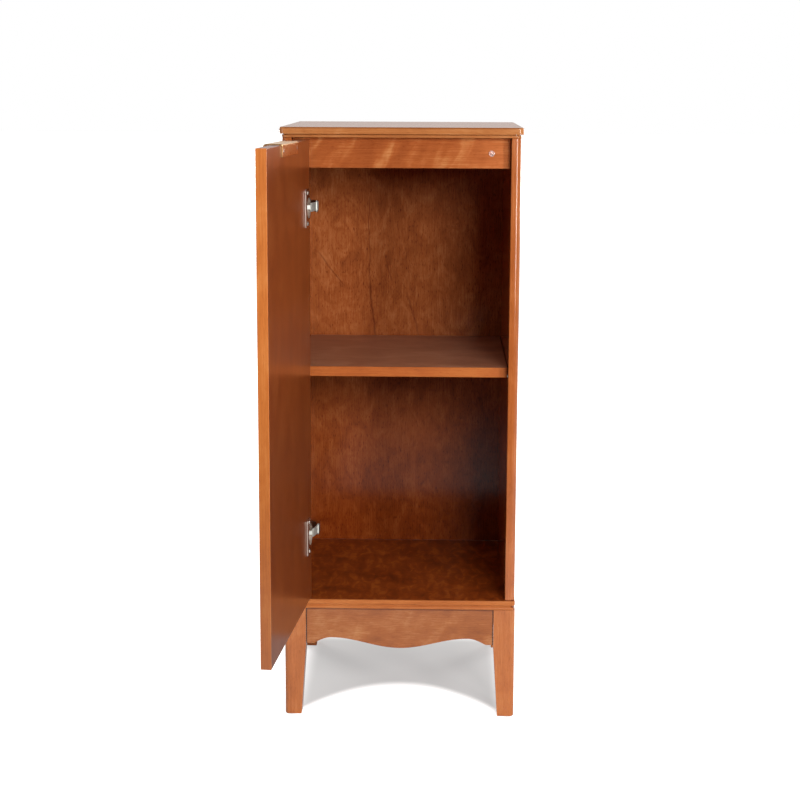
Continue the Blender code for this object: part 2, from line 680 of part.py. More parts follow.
def make_hinge_link(parts, cutters, pivot_empty, place, height, length):
    """Makes a hinge's goose-neck link, drawn from its pivot along X.

    It has an eye round the arm's axle, and at its other end a hook, which holds the cup's pin with the door open
    and with the door shut. Between the two the pin leaves the hook and moves inside the link's bend.
    """
    neck = [(along * length, out * length) for along, out in NECK_SHARES]
    neck += arc((length, 0), CUP_PIN_RADIUS + GAP + LINK_SHEET / 2, HOOK_START, HOOK_END, HOOK_SEGMENTS)
    plate = outline_plate("link_outline_" + place, strip_outline(neck, LINK_SHEET), 2 * LINK_HALF_HEIGHT, cutters)
    link = add_mesh("hinge_link_" + place, moved(plate, Matrix.Translation((0, 0, height))), parts, pivot_empty,
                    NICKEL)
    low, high = height - LINK_HALF_HEIGHT, height + LINK_HALF_HEIGHT
    join(link, cutters, "link_arm_eye_" + place,
         rod(LINK_EYE_RADIUS, (0, 0, low), (0, 0, high), SMALL_ROUND_SEGMENTS))
    for end, face in (("lower", -1), ("upper", 1)):
        cut(link, cutters, f"link_{end}_waste_{place}", link_waste(length, height, face))
    cut(link, cutters, "link_bore_" + place,
        rod(AXLE_RADIUS + AXLE_CLEARANCE, (0, 0, low - OVERCUT), (0, 0, high + OVERCUT), SMALL_ROUND_SEGMENTS))


def link_waste(length, height, face):
    """Returns the wedge that narrows a link towards its end in the cup, above or below it."""
    inner = height + face * LINK_END_HALF_HEIGHT
    outer = height + face * (LINK_HALF_HEIGHT + OVERCUT)
    start = length * LINK_END_SHARE
    waste = block((start, -length, min(inner, outer)), (2 * length, length, max(inner, outer)))
    for vertex in waste.verts:
        if abs(vertex.co.z - inner) < EASE and vertex.co.x < length:
            vertex.co.x += LINK_SHOULDER
    return waste


def arm_outline(pivot, inset):
    """Lists the arm's outline seen from above, drawn in by an inset, from its foot to the ear round the pivot."""
    foot = -OPENING_WIDTH / 2 + PLATE_THICKNESS + 2 * GAP
    back = foot + ARM_BASE_RISE - inset
    nose_right = pivot.x + ARM_EAR_RADIUS - inset
    nose_left = pivot.x - ARM_EAR_RADIUS + inset
    throat = ARM_BEND_FRONT + ARM_EAR_RADIUS * 2
    ear = arc((pivot.x, pivot.y), ARM_EAR_RADIUS - inset, 0, -math.pi, BEND_SEGMENTS * 2)
    return [(foot, ARM_LENGTH - inset), (back, ARM_LENGTH - inset), (back, ARM_BASE_FRONT + ARM_EAR_RADIUS),
            (nose_right, throat)] + ear + [(nose_left, ARM_BEND_FRONT), (foot, ARM_BASE_FRONT - ARM_EAR_RADIUS)]


def make_hinge_arm(parts, cutters, frame, place, height, pivot):
    """Makes a hinge's cranked channel arm, with an ear each side of the link and the axle through them."""
    half = LINK_HALF_HEIGHT + ARM_SIDE_CLEARANCE + ARM_SHEET
    lift = Matrix.Translation((0, 0, height))
    outer = outline_plate("arm_outline_" + place, arm_outline(pivot, 0), 2 * half, cutters)
    arm = add_mesh("hinge_arm_" + place, moved(outer, lift), parts, frame, NICKEL)
    channel = outline_plate("arm_channel_outline_" + place, arm_channel(pivot), 2 * (half - ARM_SHEET), cutters)
    cut(arm, cutters, "arm_channel_" + place, moved(channel, lift))
    axle_half = half + AXLE_PROUD
    join(arm, cutters, "axle_" + place,
         rod(AXLE_RADIUS, (pivot.x, pivot.y, height - axle_half), (pivot.x, pivot.y, height + axle_half),
             SMALL_ROUND_SEGMENTS))


def arm_channel(pivot):
    """Lists the outline of the channel inside the arm, open towards the side panel and round the link's eye."""
    foot = -OPENING_WIDTH / 2
    back = foot + PLATE_THICKNESS + 2 * GAP + ARM_BASE_RISE - ARM_SHEET
    clear = pivot.x + ARM_EAR_RADIUS + OVERCUT
    throat = ARM_BEND_FRONT + ARM_EAR_RADIUS * 2 - ARM_SHEET
    front = pivot.y - ARM_EAR_RADIUS - OVERCUT
    return [(foot, ARM_LENGTH + OVERCUT), (back, ARM_LENGTH + OVERCUT), (back, ARM_BASE_FRONT + ARM_EAR_RADIUS),
            (pivot.x, throat), (clear, throat - ARM_EAR_RADIUS), (clear, front), (foot, front)]


def make_hinge_plate(parts, cutters, frame, place, height):
    """Makes a hinge's cross-shaped mounting plate on the left side, with the ridge that the arm straddles."""
    seat = -OPENING_WIDTH / 2 + GAP
    wings = block((seat, PLATE_WING_CENTRE - PLATE_WING_LENGTH / 2, height - PLATE_HEIGHT / 2),
                  (seat + PLATE_THICKNESS, PLATE_WING_CENTRE + PLATE_WING_LENGTH / 2, height + PLATE_HEIGHT / 2))
    ends = [edge for edge in wings.edges
            if abs(edge.verts[0].co.x - edge.verts[1].co.x) > PLATE_THICKNESS / 2]
    round_edges(wings, ends, PLATE_WING_LENGTH / 3)
    plate = add_mesh("hinge_plate_" + place, wings, parts, frame, NICKEL)
    join(plate, cutters, "plate_ridge_" + place,
         block((seat + PLATE_THICKNESS / 4, PLATE_RIDGE_FRONT, height - PLATE_RIDGE_HALF_WIDTH),
               (seat + PLATE_THICKNESS + PLATE_RIDGE_HEIGHT, PLATE_RIDGE_REAR, height + PLATE_RIDGE_HALF_WIDTH)))


def make_bumper(parts, frame):
    """Turns the round bumper on the top rail, which the shut door's free corner meets."""
    steps = CORNER_SEGMENTS
    skirt = BUMPER_THICKNESS / 4
    dome = [(BUMPER_RADIUS * math.cos(step / steps * math.pi / 2),
             skirt + (BUMPER_THICKNESS - skirt) * math.sin(step / steps * math.pi / 2)) for step in range(steps + 1)]
    dome[-1] = (0, BUMPER_THICKNESS)
    bumper = lathe("door_bumper", [(0, 0), (BUMPER_RADIUS, 0)] + dome, SMALL_ROUND_SEGMENTS, parts, frame,
                   CLEAR_RUBBER)
    bumper.rotation_euler = (math.pi / 2, 0, 0)
    bumper.location = (OPENING_WIDTH / 2 - BUMPER_INSET, RAIL_SETBACK - GAP, UNDER_TOP - BUMPER_DROP)


def covered_floor():
    """Returns the middle, in X and Y, of the floor that the cabinet covers with its door open."""
    hinge_corner = turned(Vector((DOOR_LEFT, DOOR_THICKNESS, 0)) - AXIS, -OPEN_ANGLE) + AXIS
    along = turned(Vector((1, 0, 0)), -OPEN_ANGLE)
    outward = turned(Vector((0, -1, 0)), -OPEN_ANGLE)
    free_corner = hinge_corner + along * DOOR_WIDTH
    pull_corner = (hinge_corner + along * (DOOR_WIDTH * PULL_CENTRE_SHARE + PULL_LENGTH / 2)
                   + outward * PULL_TOP_OUT)
    top_reach = CASE_WIDTH / 2 + TOP_SIDE_REACH
    left = min(-top_reach, pull_corner.x, (free_corner + outward * DOOR_THICKNESS).x)
    rear = CASE_DEPTH + TOP_REAR_REACH
    return Vector(((left + top_reach) / 2, (free_corner.y + rear) / 2, 0))


def new_empty(name, collection, parent, location, turn=0):
    """Makes an empty that carries the pieces of one moving group."""
    empty = bpy.data.objects.new(name, None)
    collection.objects.link(empty)
    empty.parent = parent
    empty.location = location
    empty.rotation_euler = (0, 0, turn)
    return empty


def build():
    """Builds the whole cabinet."""
    clear_scene()
    parts = new_collection("linen_cabinet")
    cutters = new_collection("cutters")
    frame = new_empty("cabinet_frame", parts, None, -covered_floor())
    make_top_board(parts, cutters, frame)
    make_base_board(parts, cutters, frame)
    make_side(parts, cutters, frame, "side_left", -1)
    make_side(parts, cutters, frame, "side_right", 1)
    make_rails(parts, frame)
    make_back(parts, frame)
    make_shelf(parts, frame)
    make_shelf_pins(parts, frame)
    for end, face in (("front", -1), ("rear", 1)):
        for side, hand in (("left", -1), ("right", 1)):
            make_leg(parts, frame, f"leg_{end}_{side}", hand, face)
    make_aprons(parts, cutters, frame)
    make_corner_blocks(parts, cutters, frame)
    make_bumper(parts, frame)

    door_axis = new_empty("door_axis", parts, frame, AXIS, -OPEN_ANGLE)
    make_door_panel(parts, cutters, door_axis)
    make_edge_pull(parts, door_axis)
    pivot, length, direction, turn = link_places()
    for place, height in HINGE_HEIGHTS.items():
        make_hinge_cup(parts, cutters, door_axis, place, height)
        link_axis = new_empty("link_axis_" + place, parts, frame, pivot, direction)
        make_hinge_link(parts, cutters, link_axis, place, height, length)
        make_hinge_arm(parts, cutters, frame, place, height, pivot)
        make_hinge_plate(parts, cutters, frame, place, height)
    bpy.context.view_layer.update()
    print("link turns", round(math.degrees(turn), 3), "degrees as the door shuts")


build()
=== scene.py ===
"""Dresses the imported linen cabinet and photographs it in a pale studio.

The cabinet stands on the floor at Z = 0 with its front towards -Y and its door open on the left. Every board of the
frame keeps its mesh and gets the veneer or solid wood that it has: cherry-stained, under a semi-gloss lacquer. The
hinges get their nickel plate, and the pull its satin brass. The screws are new pieces. Lengths are in metres.
"""
import json
import logging
import math
from dataclasses import dataclass
from enum import Enum

import bpy
import numpy as np
from mathutils import Matrix, Vector

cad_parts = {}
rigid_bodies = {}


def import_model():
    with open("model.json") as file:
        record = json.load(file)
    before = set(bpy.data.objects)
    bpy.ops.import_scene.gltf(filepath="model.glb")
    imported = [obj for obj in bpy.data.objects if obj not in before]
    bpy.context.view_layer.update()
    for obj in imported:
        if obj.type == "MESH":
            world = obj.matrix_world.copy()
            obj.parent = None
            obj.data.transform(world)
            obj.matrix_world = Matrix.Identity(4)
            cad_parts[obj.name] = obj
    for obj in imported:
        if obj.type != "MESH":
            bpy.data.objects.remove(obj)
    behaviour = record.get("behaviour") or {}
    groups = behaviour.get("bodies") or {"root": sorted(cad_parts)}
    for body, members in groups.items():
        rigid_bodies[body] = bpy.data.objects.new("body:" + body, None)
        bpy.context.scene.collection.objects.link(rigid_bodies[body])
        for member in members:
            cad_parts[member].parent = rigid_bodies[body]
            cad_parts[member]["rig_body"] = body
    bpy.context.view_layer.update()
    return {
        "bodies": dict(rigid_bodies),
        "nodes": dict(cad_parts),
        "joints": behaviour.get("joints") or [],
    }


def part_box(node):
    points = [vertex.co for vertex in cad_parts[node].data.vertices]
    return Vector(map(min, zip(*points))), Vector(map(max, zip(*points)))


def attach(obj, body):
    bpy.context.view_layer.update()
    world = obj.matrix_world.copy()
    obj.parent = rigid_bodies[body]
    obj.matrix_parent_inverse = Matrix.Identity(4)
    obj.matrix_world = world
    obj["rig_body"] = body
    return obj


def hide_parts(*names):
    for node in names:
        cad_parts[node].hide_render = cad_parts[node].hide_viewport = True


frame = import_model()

LOG = logging.getLogger("linen_cabinet")
MM = 0.001
IMAGE_SIDE = 800
MERGE_DISTANCE = 0.001 * MM


def linear(code: str) -> tuple[float, float, float, float]:
    """Turns an sRGB hex colour into the linear colour that the shaders take.

    Args:
        code: six hex digits.

    Returns:
        Red, green and blue from 0 to 1, and an alpha of 1.
    """
    parts = [int(code[start:start + 2], 16) / 255 for start in (0, 2, 4)]
    red, green, blue = [part / 12.92 if part <= 0.04045 else ((part + 0.055) / 1.055) ** 2.4 for part in parts]
    return red, green, blue, 1.0


def add_node(tree: bpy.types.NodeTree, kind: str, inputs: dict | None = None, stops: tuple = (),
             **settings: object) -> bpy.types.Node:
    """Adds a node, with its settings, its inputs and the colour stops of a ramp.

    Args:
        tree: the node tree that the node goes into.
        kind: the node's type name.
        inputs: a value, or another node's output, for each named or numbered input.
        stops: pairs of place and hex colour or grey level, for a colour ramp.
        settings: the node's own properties.

    Returns:
        The new node.
    """
    node = tree.nodes.new(kind)
    for name, value in settings.items():
        setattr(node, name, value)
    for name, value in (inputs or {}).items():
        if isinstance(value, bpy.types.NodeSocket):
            tree.links.new(value, node.inputs[name])
        else:
            node.inputs[name].default_value = value
    while stops and len(node.color_ramp.elements) < len(stops):
        node.color_ramp.elements.new(1.0)
    for element, (place, colour) in zip(node.color_ramp.elements if stops else (), stops):
        element.position = place
        element.color = linear(colour) if isinstance(colour, str) else (colour, colour, colour, 1.0)
    return node


def start_material(name: str) -> tuple[bpy.types.Material, bpy.types.NodeTree, bpy.types.Node]:
    """Starts a material.

    Args:
        name: the material's name, after what the real one is.

    Returns:
        The material, its node tree and its shader.
    """
    made = bpy.data.materials.new(name)
    made.use_nodes = True
    return made, made.node_tree, made.node_tree.nodes["Principled BSDF"]


class Grain(Enum):
    """The way that a board's grain runs, as the number of that axis."""

    UPRIGHT = 2
    ACROSS = 0
    DEPTH = 1


class Figure(Enum):
    """What a veneer or board shows besides its straight grain."""

    PLAIN = "straight grain"
    EYE = "growth rings round an eye"
    FLAME = "slanting pale bands"
    RIPPLE = "short patches across the grain"


@dataclass(frozen=True)
class Tones:
    """The dark threads, the main colour and the pale flecks of one stained wood."""

    dark: str
    middle: str
    light: str

    def ramp(self, tree: bpy.types.NodeTree, tone: bpy.types.NodeSocket) -> bpy.types.NodeSocket:
        """Turns a tone from 0 to 1 into the wood's colour."""
        return add_node(tree, "ShaderNodeValToRGB", {0: tone},
                        stops=((0.1, self.dark), (0.5, self.middle), (0.9, self.light))).outputs[0]


@dataclass(frozen=True)
class Zone:
    """A part of a board with tones of its own, such as the strip of solid wood glued along its front edge.

    It lies past a start, counted in one direction, and the tones change over a blend to both sides of that start.
    """

    tones: Tones
    towards: tuple[float, float, float]
    start: float
    blend: float = 0.2 * MM


@dataclass(frozen=True)
class Bands:
    """Pale bands or patches in a veneer.

    They have a size across and along the grain, a lean from it, a fineness and a wander. The levels turn the noise
    that draws them into a figure from 0 dark to 1 pale.
    """

    across: float
    along: float
    lean: float
    detail: float
    wander: float
    levels: tuple[tuple[float, float], ...]


BANDS = {
    Figure.FLAME: Bands(22 * MM, 75 * MM, math.radians(62), 2.5, 0.5, ((0.36, 0.15), (0.54, 0.45), (0.66, 1.0))),
    Figure.RIPPLE: Bands(30 * MM, 12 * MM, math.radians(18), 2.0, 0.8, ((0.34, 0.0), (0.52, 0.4), (0.66, 1.0))),
}


@dataclass(frozen=True)
class Vein:
    """A dark vein up a board: the side and height of its two ends, how dark it is and how wide."""

    foot: tuple[float, float]
    head: tuple[float, float]
    strength: float
    width: float = 1.6 * MM


@dataclass(frozen=True)
class LacqueredCherry:
    """Cherry-stained wood under semi-gloss lacquer.

    The stain goes on unevenly and the grain shows through it as darker threads and short pores. The lacquer lies
    over both like a sheet of glass, so the wood itself has no shine of its own: the lacquer mirrors what stands
    before it where the eye grazes it. A pattern's depth is how far it takes the tone from dark to light.
    """

    name: str
    grain: Grain
    tones: Tones
    figure: Figure = Figure.PLAIN
    thread_width: float = 1.5 * MM
    thread_length: float = 60 * MM
    thread_depth: float = 0.55
    pore_width: float = 0.8 * MM
    pore_length: float = 7 * MM
    pore_depth: float = 0.16
    pore_hollow: float = 0.03 * MM
    patch_size: float = 45 * MM
    patch_length: float = 1.7
    patch_swirl: float = 0.6
    patch_depth: float = 0.6
    figure_depth: float = 0.35
    lacquer_roughness: float = 0.07
    lacquer_share: float = 1.0
    lacquer_ior: float = 1.5
    veins: tuple[Vein, ...] = ()
    vein_wander: float = 9 * MM
    # Painted shade: dark lines at the board's ends, where the narrow gaps at the joints lie in shade.
    joints: tuple[float, ...] = ()
    joint_shade_colour: str = "2A1008"
    joint_shade_reach: tuple[float, float] = (0.8 * MM, 2.0 * MM)
    zones: tuple[Zone, ...] = ()
    eye: tuple[float, float] = (0.0, 0.0)
    eye_squash: float = 0.62
    ring_spacing: float = 9 * MM
    ring_wander: float = 45 * MM
    ring_fade: tuple[float, float] = (35 * MM, 120 * MM)

    def stretched(self, tree: bpy.types.NodeTree, place: bpy.types.NodeSocket, across: float, along: float,
                  turn: float = 0.0) -> bpy.types.NodeSocket:
        """Scales a place, so that a pattern is so wide across the grain and so long along it.

        Args:
            tree: the material's node tree.
            place: the place on the object, in metres.
            across: the pattern's size across the grain.
            along: the pattern's size along the grain.
            turn: how far the pattern leans from the grain, in radians, about the cabinet's depth.

        Returns:
            The scaled place.
        """
        scale = [1 / across] * 3
        scale[self.grain.value] = 1 / along
        leaned = add_node(tree, "ShaderNodeMapping", {"Vector": place, "Rotation": (0, turn, 0)})
        return add_node(tree, "ShaderNodeMapping", {"Vector": leaned.outputs[0], "Scale": scale}).outputs[0]

    def swing(self, tree: bpy.types.NodeTree, pattern: bpy.types.NodeSocket, depth: float,
              tone: bpy.types.NodeSocket | float) -> bpy.types.NodeSocket:
        """Adds a pattern, less its middle value of a half, to the tone so far."""
        level = add_node(tree, "ShaderNodeMath", {0: pattern, 1: 0.5}, operation="SUBTRACT").outputs[0]
        return add_node(tree, "ShaderNodeMath", {0: level, 1: depth, 2: tone}, operation="MULTIPLY_ADD").outputs[0]

    def threads(self, tree: bpy.types.NodeTree, place: bpy.types.NodeSocket) -> bpy.types.NodeSocket:
        """Draws the fine threads of the grain."""
        fine = self.stretched(tree, place, self.thread_width, self.thread_length)
        return add_node(tree, "ShaderNodeTexNoise", {"Vector": fine, "Scale": 1.0, "Detail": 4.0, "Roughness": 0.65,
                                                     "Distortion": 0.3}).outputs[0]

    def pores(self, tree: bpy.types.NodeTree, place: bpy.types.NodeSocket) -> bpy.types.NodeSocket:
        """Draws the short dark pores.

        Real pores are about a tenth of a millimetre wide, too fine to show, so they are drawn as wide as they need
        to show.

        Args:
            tree: the material's node tree.
            place: the place on the object.

        Returns:
            A level from 0 between the pores to 1 in them.
        """
        short = self.stretched(tree, place, self.pore_width, self.pore_length)
        noise = add_node(tree, "ShaderNodeTexNoise", {"Vector": short, "Scale": 1.0, "Detail": 1.0}).outputs[0]
        return add_node(tree, "ShaderNodeMapRange", {0: noise, 1: 0.58, 2: 0.72, 3: 0.0, 4: 1.0}).outputs[0]

    def patches(self, tree: bpy.types.NodeTree, place: bpy.types.NodeSocket) -> bpy.types.NodeSocket:
        """Draws the cloudy patches of the stain."""
        cloud = self.stretched(tree, place, self.patch_size, self.patch_size * self.patch_length)
        return add_node(tree, "ShaderNodeTexNoise", {"Vector": cloud, "Scale": 1.0, "Detail": 3.0, "Roughness": 0.55,
                                                     "Distortion": self.patch_swirl}).outputs[0]

    def figured(self, tree: bpy.types.NodeTree, place: bpy.types.NodeSocket) -> bpy.types.NodeSocket | None:
        """Draws the board's figure.

        Args:
            tree: the material's node tree.
            place: the place on the object.

        Returns:
            A level from 0 dark to 1 pale, or None where the grain is plain.
        """
        if self.figure is Figure.EYE:
            return self.rings(tree, place)
        bands = BANDS.get(self.figure)
        if bands is None:
            return None
        spread = self.stretched(tree, place, bands.across, bands.along, bands.lean)
        noise = add_node(tree, "ShaderNodeTexNoise", {"Vector": spread, "Scale": 1.0, "Detail": bands.detail,
                                                      "Roughness": 0.5, "Distortion": bands.wander})
        return add_node(tree, "ShaderNodeValToRGB", {0: noise.outputs[0]}, stops=bands.levels).outputs[0]

    def rings(self, tree: bpy.types.NodeTree, place: bpy.types.NodeSocket) -> bpy.types.NodeSocket:
        """Draws the growth rings round an eye, where the knife grazed the trunk.

        A ring's number is the distance from the eye, with the height counted at the squash, plus a slow wander. A
        noise along that one number makes rings of uneven width, as seasons do, and they fade out away from the eye.

        Args:
            tree: the material's node tree.
            place: the place on the object.

        Returns:
            A level from 0 dark to 1 pale.
        """
        centre = add_node(tree, "ShaderNodeMapping", {"Vector": place, "Location": (-self.eye[0], 0, -self.eye[1])})
        oval = add_node(tree, "ShaderNodeMapping", {"Vector": centre.outputs[0],
                                                    "Scale": (1.0, 0.0, self.eye_squash)})
        away = add_node(tree, "ShaderNodeVectorMath", {0: oval.outputs[0]}, operation="LENGTH").outputs["Value"]
        wander = add_node(tree, "ShaderNodeTexNoise",
                          {"Vector": self.stretched(tree, place, 60 * MM, 90 * MM), "Scale": 1.0, "Detail": 2.0})
        drift = add_node(tree, "ShaderNodeMath", {0: wander.outputs[0], 1: self.ring_wander, 2: away},
                         operation="MULTIPLY_ADD").outputs[0]
        rings = add_node(tree, "ShaderNodeTexNoise", {"W": drift, "Scale": 1 / self.ring_spacing, "Detail": 2.0,
                                                      "Roughness": 0.6}, noise_dimensions="1D").outputs[0]
        sharp = add_node(tree, "ShaderNodeMapRange", {0: rings, 1: 0.35, 2: 0.62}).outputs[0]
        fade = add_node(tree, "ShaderNodeMapRange", {0: away, 1: self.ring_fade[0], 2: self.ring_fade[1], 3: 1.0,
                                                     4: 0.25}).outputs[0]
        return add_node(tree, "ShaderNodeMix", {0: fade, 2: 0.5, 3: sharp}).outputs[0]

    def veined(self, tree: bpy.types.NodeTree, place: bpy.types.NodeSocket, vein: Vein,
               colour: bpy.types.NodeSocket) -> bpy.types.NodeSocket:
        """Draws one dark vein, which runs from its foot to its head and wanders a little from side to side.

        Args:
            tree: the material's node tree.
            place: the place on the object.
            vein: the vein's two ends, strength and width.
            colour: the wood's colour so far.

        Returns:
            The colour with the vein in it.
        """
        parts = add_node(tree, "ShaderNodeSeparateXYZ", {0: place}).outputs
        (foot_x, foot_z), (head_x, head_z) = vein.foot, vein.head
        line = add_node(tree, "ShaderNodeMapRange", {0: parts[2], 1: foot_z, 2: head_z, 3: foot_x, 4: head_x},
                        clamp=False).outputs[0]
        bend = add_node(tree, "ShaderNodeTexNoise", {"W": parts[2], "Scale": 1 / (62.5 * MM), "Detail": 3.0},
                        noise_dimensions="1D").outputs[0]
        wavy = self.swing(tree, bend, self.vein_wander, line)
        away = add_node(tree, "ShaderNodeMath", {0: parts[0], 1: wavy}, operation="SUBTRACT").outputs[0]
        off = add_node(tree, "ShaderNodeMath", {0: away}, operation="ABSOLUTE").outputs[0]
        near = add_node(tree, "ShaderNodeMapRange", {0: off, 1: vein.width * 0.3, 2: vein.width * 1.6,
                                                     3: vein.strength, 4: 0.0}).outputs[0]
        above = add_node(tree, "ShaderNodeMapRange", {0: parts[2], 1: foot_z - 8 * MM, 2: foot_z}).outputs[0]
        below = add_node(tree, "ShaderNodeMapRange", {0: parts[2], 1: head_z, 2: head_z + 12 * MM, 3: 1.0,
                                                      4: 0.0}).outputs[0]
        inside = add_node(tree, "ShaderNodeMath", {0: above, 1: below}, operation="MULTIPLY").outputs[0]
        share = add_node(tree, "ShaderNodeMath", {0: near, 1: inside}, operation="MULTIPLY").outputs[0]
        return add_node(tree, "ShaderNodeMix", {0: share, 6: colour, 7: linear(self.tones.dark)},
                        data_type="RGBA").outputs[2]

    def shade_joints(self, tree: bpy.types.NodeTree, place: bpy.types.NodeSocket,
                colour: bpy.types.NodeSocket) -> bpy.types.NodeSocket:
        """Draws a painted dark line of shade at the board's ends, where the narrow gaps to their neighbours lie in
        shade.

        Args:
            tree: the material's node tree.
            place: the place on the object.
            colour: the wood's colour so far.

        Returns:
            The colour with the lines in it.
        """
        across = add_node(tree, "ShaderNodeSeparateXYZ", {0: place}).outputs[0]
        for joint in self.joints:
            away = add_node(tree, "ShaderNodeMath", {0: across, 1: joint}, operation="SUBTRACT").outputs[0]
            off = add_node(tree, "ShaderNodeMath", {0: away}, operation="ABSOLUTE").outputs[0]
            near = add_node(tree, "ShaderNodeMapRange", {0: off, 1: self.joint_shade_reach[0], 2: self.joint_shade_reach[1],
                                                         3: 0.85, 4: 0.0}).outputs[0]
            colour = add_node(tree, "ShaderNodeMix", {0: near, 6: colour, 7: linear(self.joint_shade_colour)},
                              data_type="RGBA").outputs[2]
        return colour

    def zoned(self, tree: bpy.types.NodeTree, place: bpy.types.NodeSocket, tone: bpy.types.NodeSocket,
              colour: bpy.types.NodeSocket) -> bpy.types.NodeSocket:
        """Gives each zone of the board its own tones, a later zone over an earlier one.

        A place is in a zone where its own vector, multiplied by the zone's direction, is past the zone's start.

        Args:
            tree: the material's node tree.
            place: the place on the object.
            tone: the wood's tone, without the board's figure.
            colour: the wood's colour so far.

        Returns:
            The colour with the zones in it.
        """
        for zone in self.zones:
            reach = add_node(tree, "ShaderNodeVectorMath", {0: place, 1: zone.towards},
                             operation="DOT_PRODUCT").outputs["Value"]
            past = add_node(tree, "ShaderNodeMapRange", {0: reach, 1: zone.start - zone.blend,
                                                         2: zone.start + zone.blend}).outputs[0]
            colour = add_node(tree, "ShaderNodeMix", {0: past, 6: colour, 7: zone.tones.ramp(tree, tone)},
                              data_type="RGBA").outputs[2]
        return colour

    def material(self) -> bpy.types.Material:
        """Builds the material.

        Returns:
            The new material.
        """
        made, tree, shader = start_material(self.name)
        place = add_node(tree, "ShaderNodeTexCoord").outputs["Object"]
        threads, pores, figure = self.threads(tree, place), self.pores(tree, place), self.figured(tree, place)
        tone = self.swing(tree, threads, self.thread_depth, 0.5)
        tone = self.swing(tree, self.patches(tree, place), self.patch_depth, tone)
        tone = add_node(tree, "ShaderNodeMath", {0: pores, 1: -self.pore_depth, 2: tone},
                        operation="MULTIPLY_ADD").outputs[0]
        figured = tone if figure is None else self.swing(tree, figure, self.figure_depth, tone)
        colour = self.tones.ramp(tree, figured)
        colour = self.zoned(tree, place, tone, colour)
        for vein in self.veins:
            colour = self.veined(tree, place, vein, colour)
        colour = self.shade_joints(tree, place, colour)
        tree.links.new(colour, shader.inputs["Base Color"])
        hollow = add_node(tree, "ShaderNodeBump", {"Height": pores, "Strength": 0.3, "Distance": self.pore_hollow},
                          invert=True)
        tree.links.new(hollow.outputs[0], shader.inputs["Normal"])
        shader.inputs["Roughness"].default_value = 0.6
        shader.inputs["Specular IOR Level"].default_value = 0.0
        shader.inputs["Coat Weight"].default_value = self.lacquer_share
        shader.inputs["Coat Roughness"].default_value = self.lacquer_roughness
        shader.inputs["Coat IOR"].default_value = self.lacquer_ior
        return made


@dataclass(frozen=True)
class PlatedMetal:
    """Metal with a thin bright plate, or satin sheet metal.

    Plate over pressed steel mirrors its surroundings softly, and more sharply where it is seen at a grazing angle:
    its roughness falls there to the grazing share. Fine lines from polishing, a few tenths of a millimetre apart and
    about 8 mm long, blur the mirror image along one direction.
    """

    name: str
    colour: str
    roughness: float
    grazing_share: float = 0.2
    grazing_from: float = 0.55
    grazing_to: float = 0.8
    line_spacing: float = 0.4 * MM
    line_length: float = 1 / 120
    line_height: float = 0.02 * MM

    def material(self) -> bpy.types.Material:
        """Builds the material.

        Returns:
            The new material.
        """
        made, tree, shader = start_material(self.name)
        shader.inputs["Base Color"].default_value = linear(self.colour)
        shader.inputs["Metallic"].default_value = 1.0
        place = add_node(tree, "ShaderNodeTexCoord").outputs["Object"]
        lines = add_node(tree, "ShaderNodeMapping", {
            "Vector": place, "Scale": (1 / self.line_spacing, 1 / self.line_spacing, 1 / self.line_length)})
        noise = add_node(tree, "ShaderNodeTexNoise", {"Vector": lines.outputs[0], "Scale": 1.0, "Detail": 2.0})
        rough = add_node(tree, "ShaderNodeMapRange", {0: noise.outputs[0], 3: self.roughness * 0.8,
                                                      4: self.roughness * 1.3}).outputs[0]
        grazing = add_node(tree, "ShaderNodeLayerWeight", {"Blend": 0.5}).outputs["Facing"]
        keen = add_node(tree, "ShaderNodeMapRange", {0: grazing, 1: self.grazing_from, 2: self.grazing_to, 3: 1.0,
                                                     4: self.grazing_share}).outputs[0]
        softness = add_node(tree, "ShaderNodeMath", {0: rough, 1: keen}, operation="MULTIPLY").outputs[0]
        tree.links.new(softness, shader.inputs["Roughness"])
        bump = add_node(tree, "ShaderNodeBump", {"Height": noise.outputs[0], "Strength": 0.12,
                                                 "Distance": self.line_height})
        tree.links.new(bump.outputs[0], shader.inputs["Normal"])
        return made


@dataclass(frozen=True)
class ClearRubber:
    """Clear moulded polyurethane, which shows the wood behind it and a soft bright rim.

    Its skin is hazy in spots of about a millimetre, as moulded pieces are.
    """

    name: str = "clear moulded rubber"
    colour: str = "F6E3DA"
    haze_size: float = 1 / 900

    def material(self) -> bpy.types.Material:
        """Builds the material.

        Returns:
            The new material.
        """
        made, tree, shader = start_material(self.name)
        place = add_node(tree, "ShaderNodeTexCoord").outputs["Object"]
        haze = add_node(tree, "ShaderNodeTexNoise", {"Vector": place, "Scale": 1 / self.haze_size, "Detail": 2.0})
        rough = add_node(tree, "ShaderNodeMapRange", {0: haze.outputs[0], 3: 0.08, 4: 0.22})
        tree.links.new(rough.outputs[0], shader.inputs["Roughness"])
        shader.inputs["Base Color"].default_value = linear(self.colour)
        shader.inputs["Transmission Weight"].default_value = 0.75
        shader.inputs["IOR"].default_value = 1.48
        return made


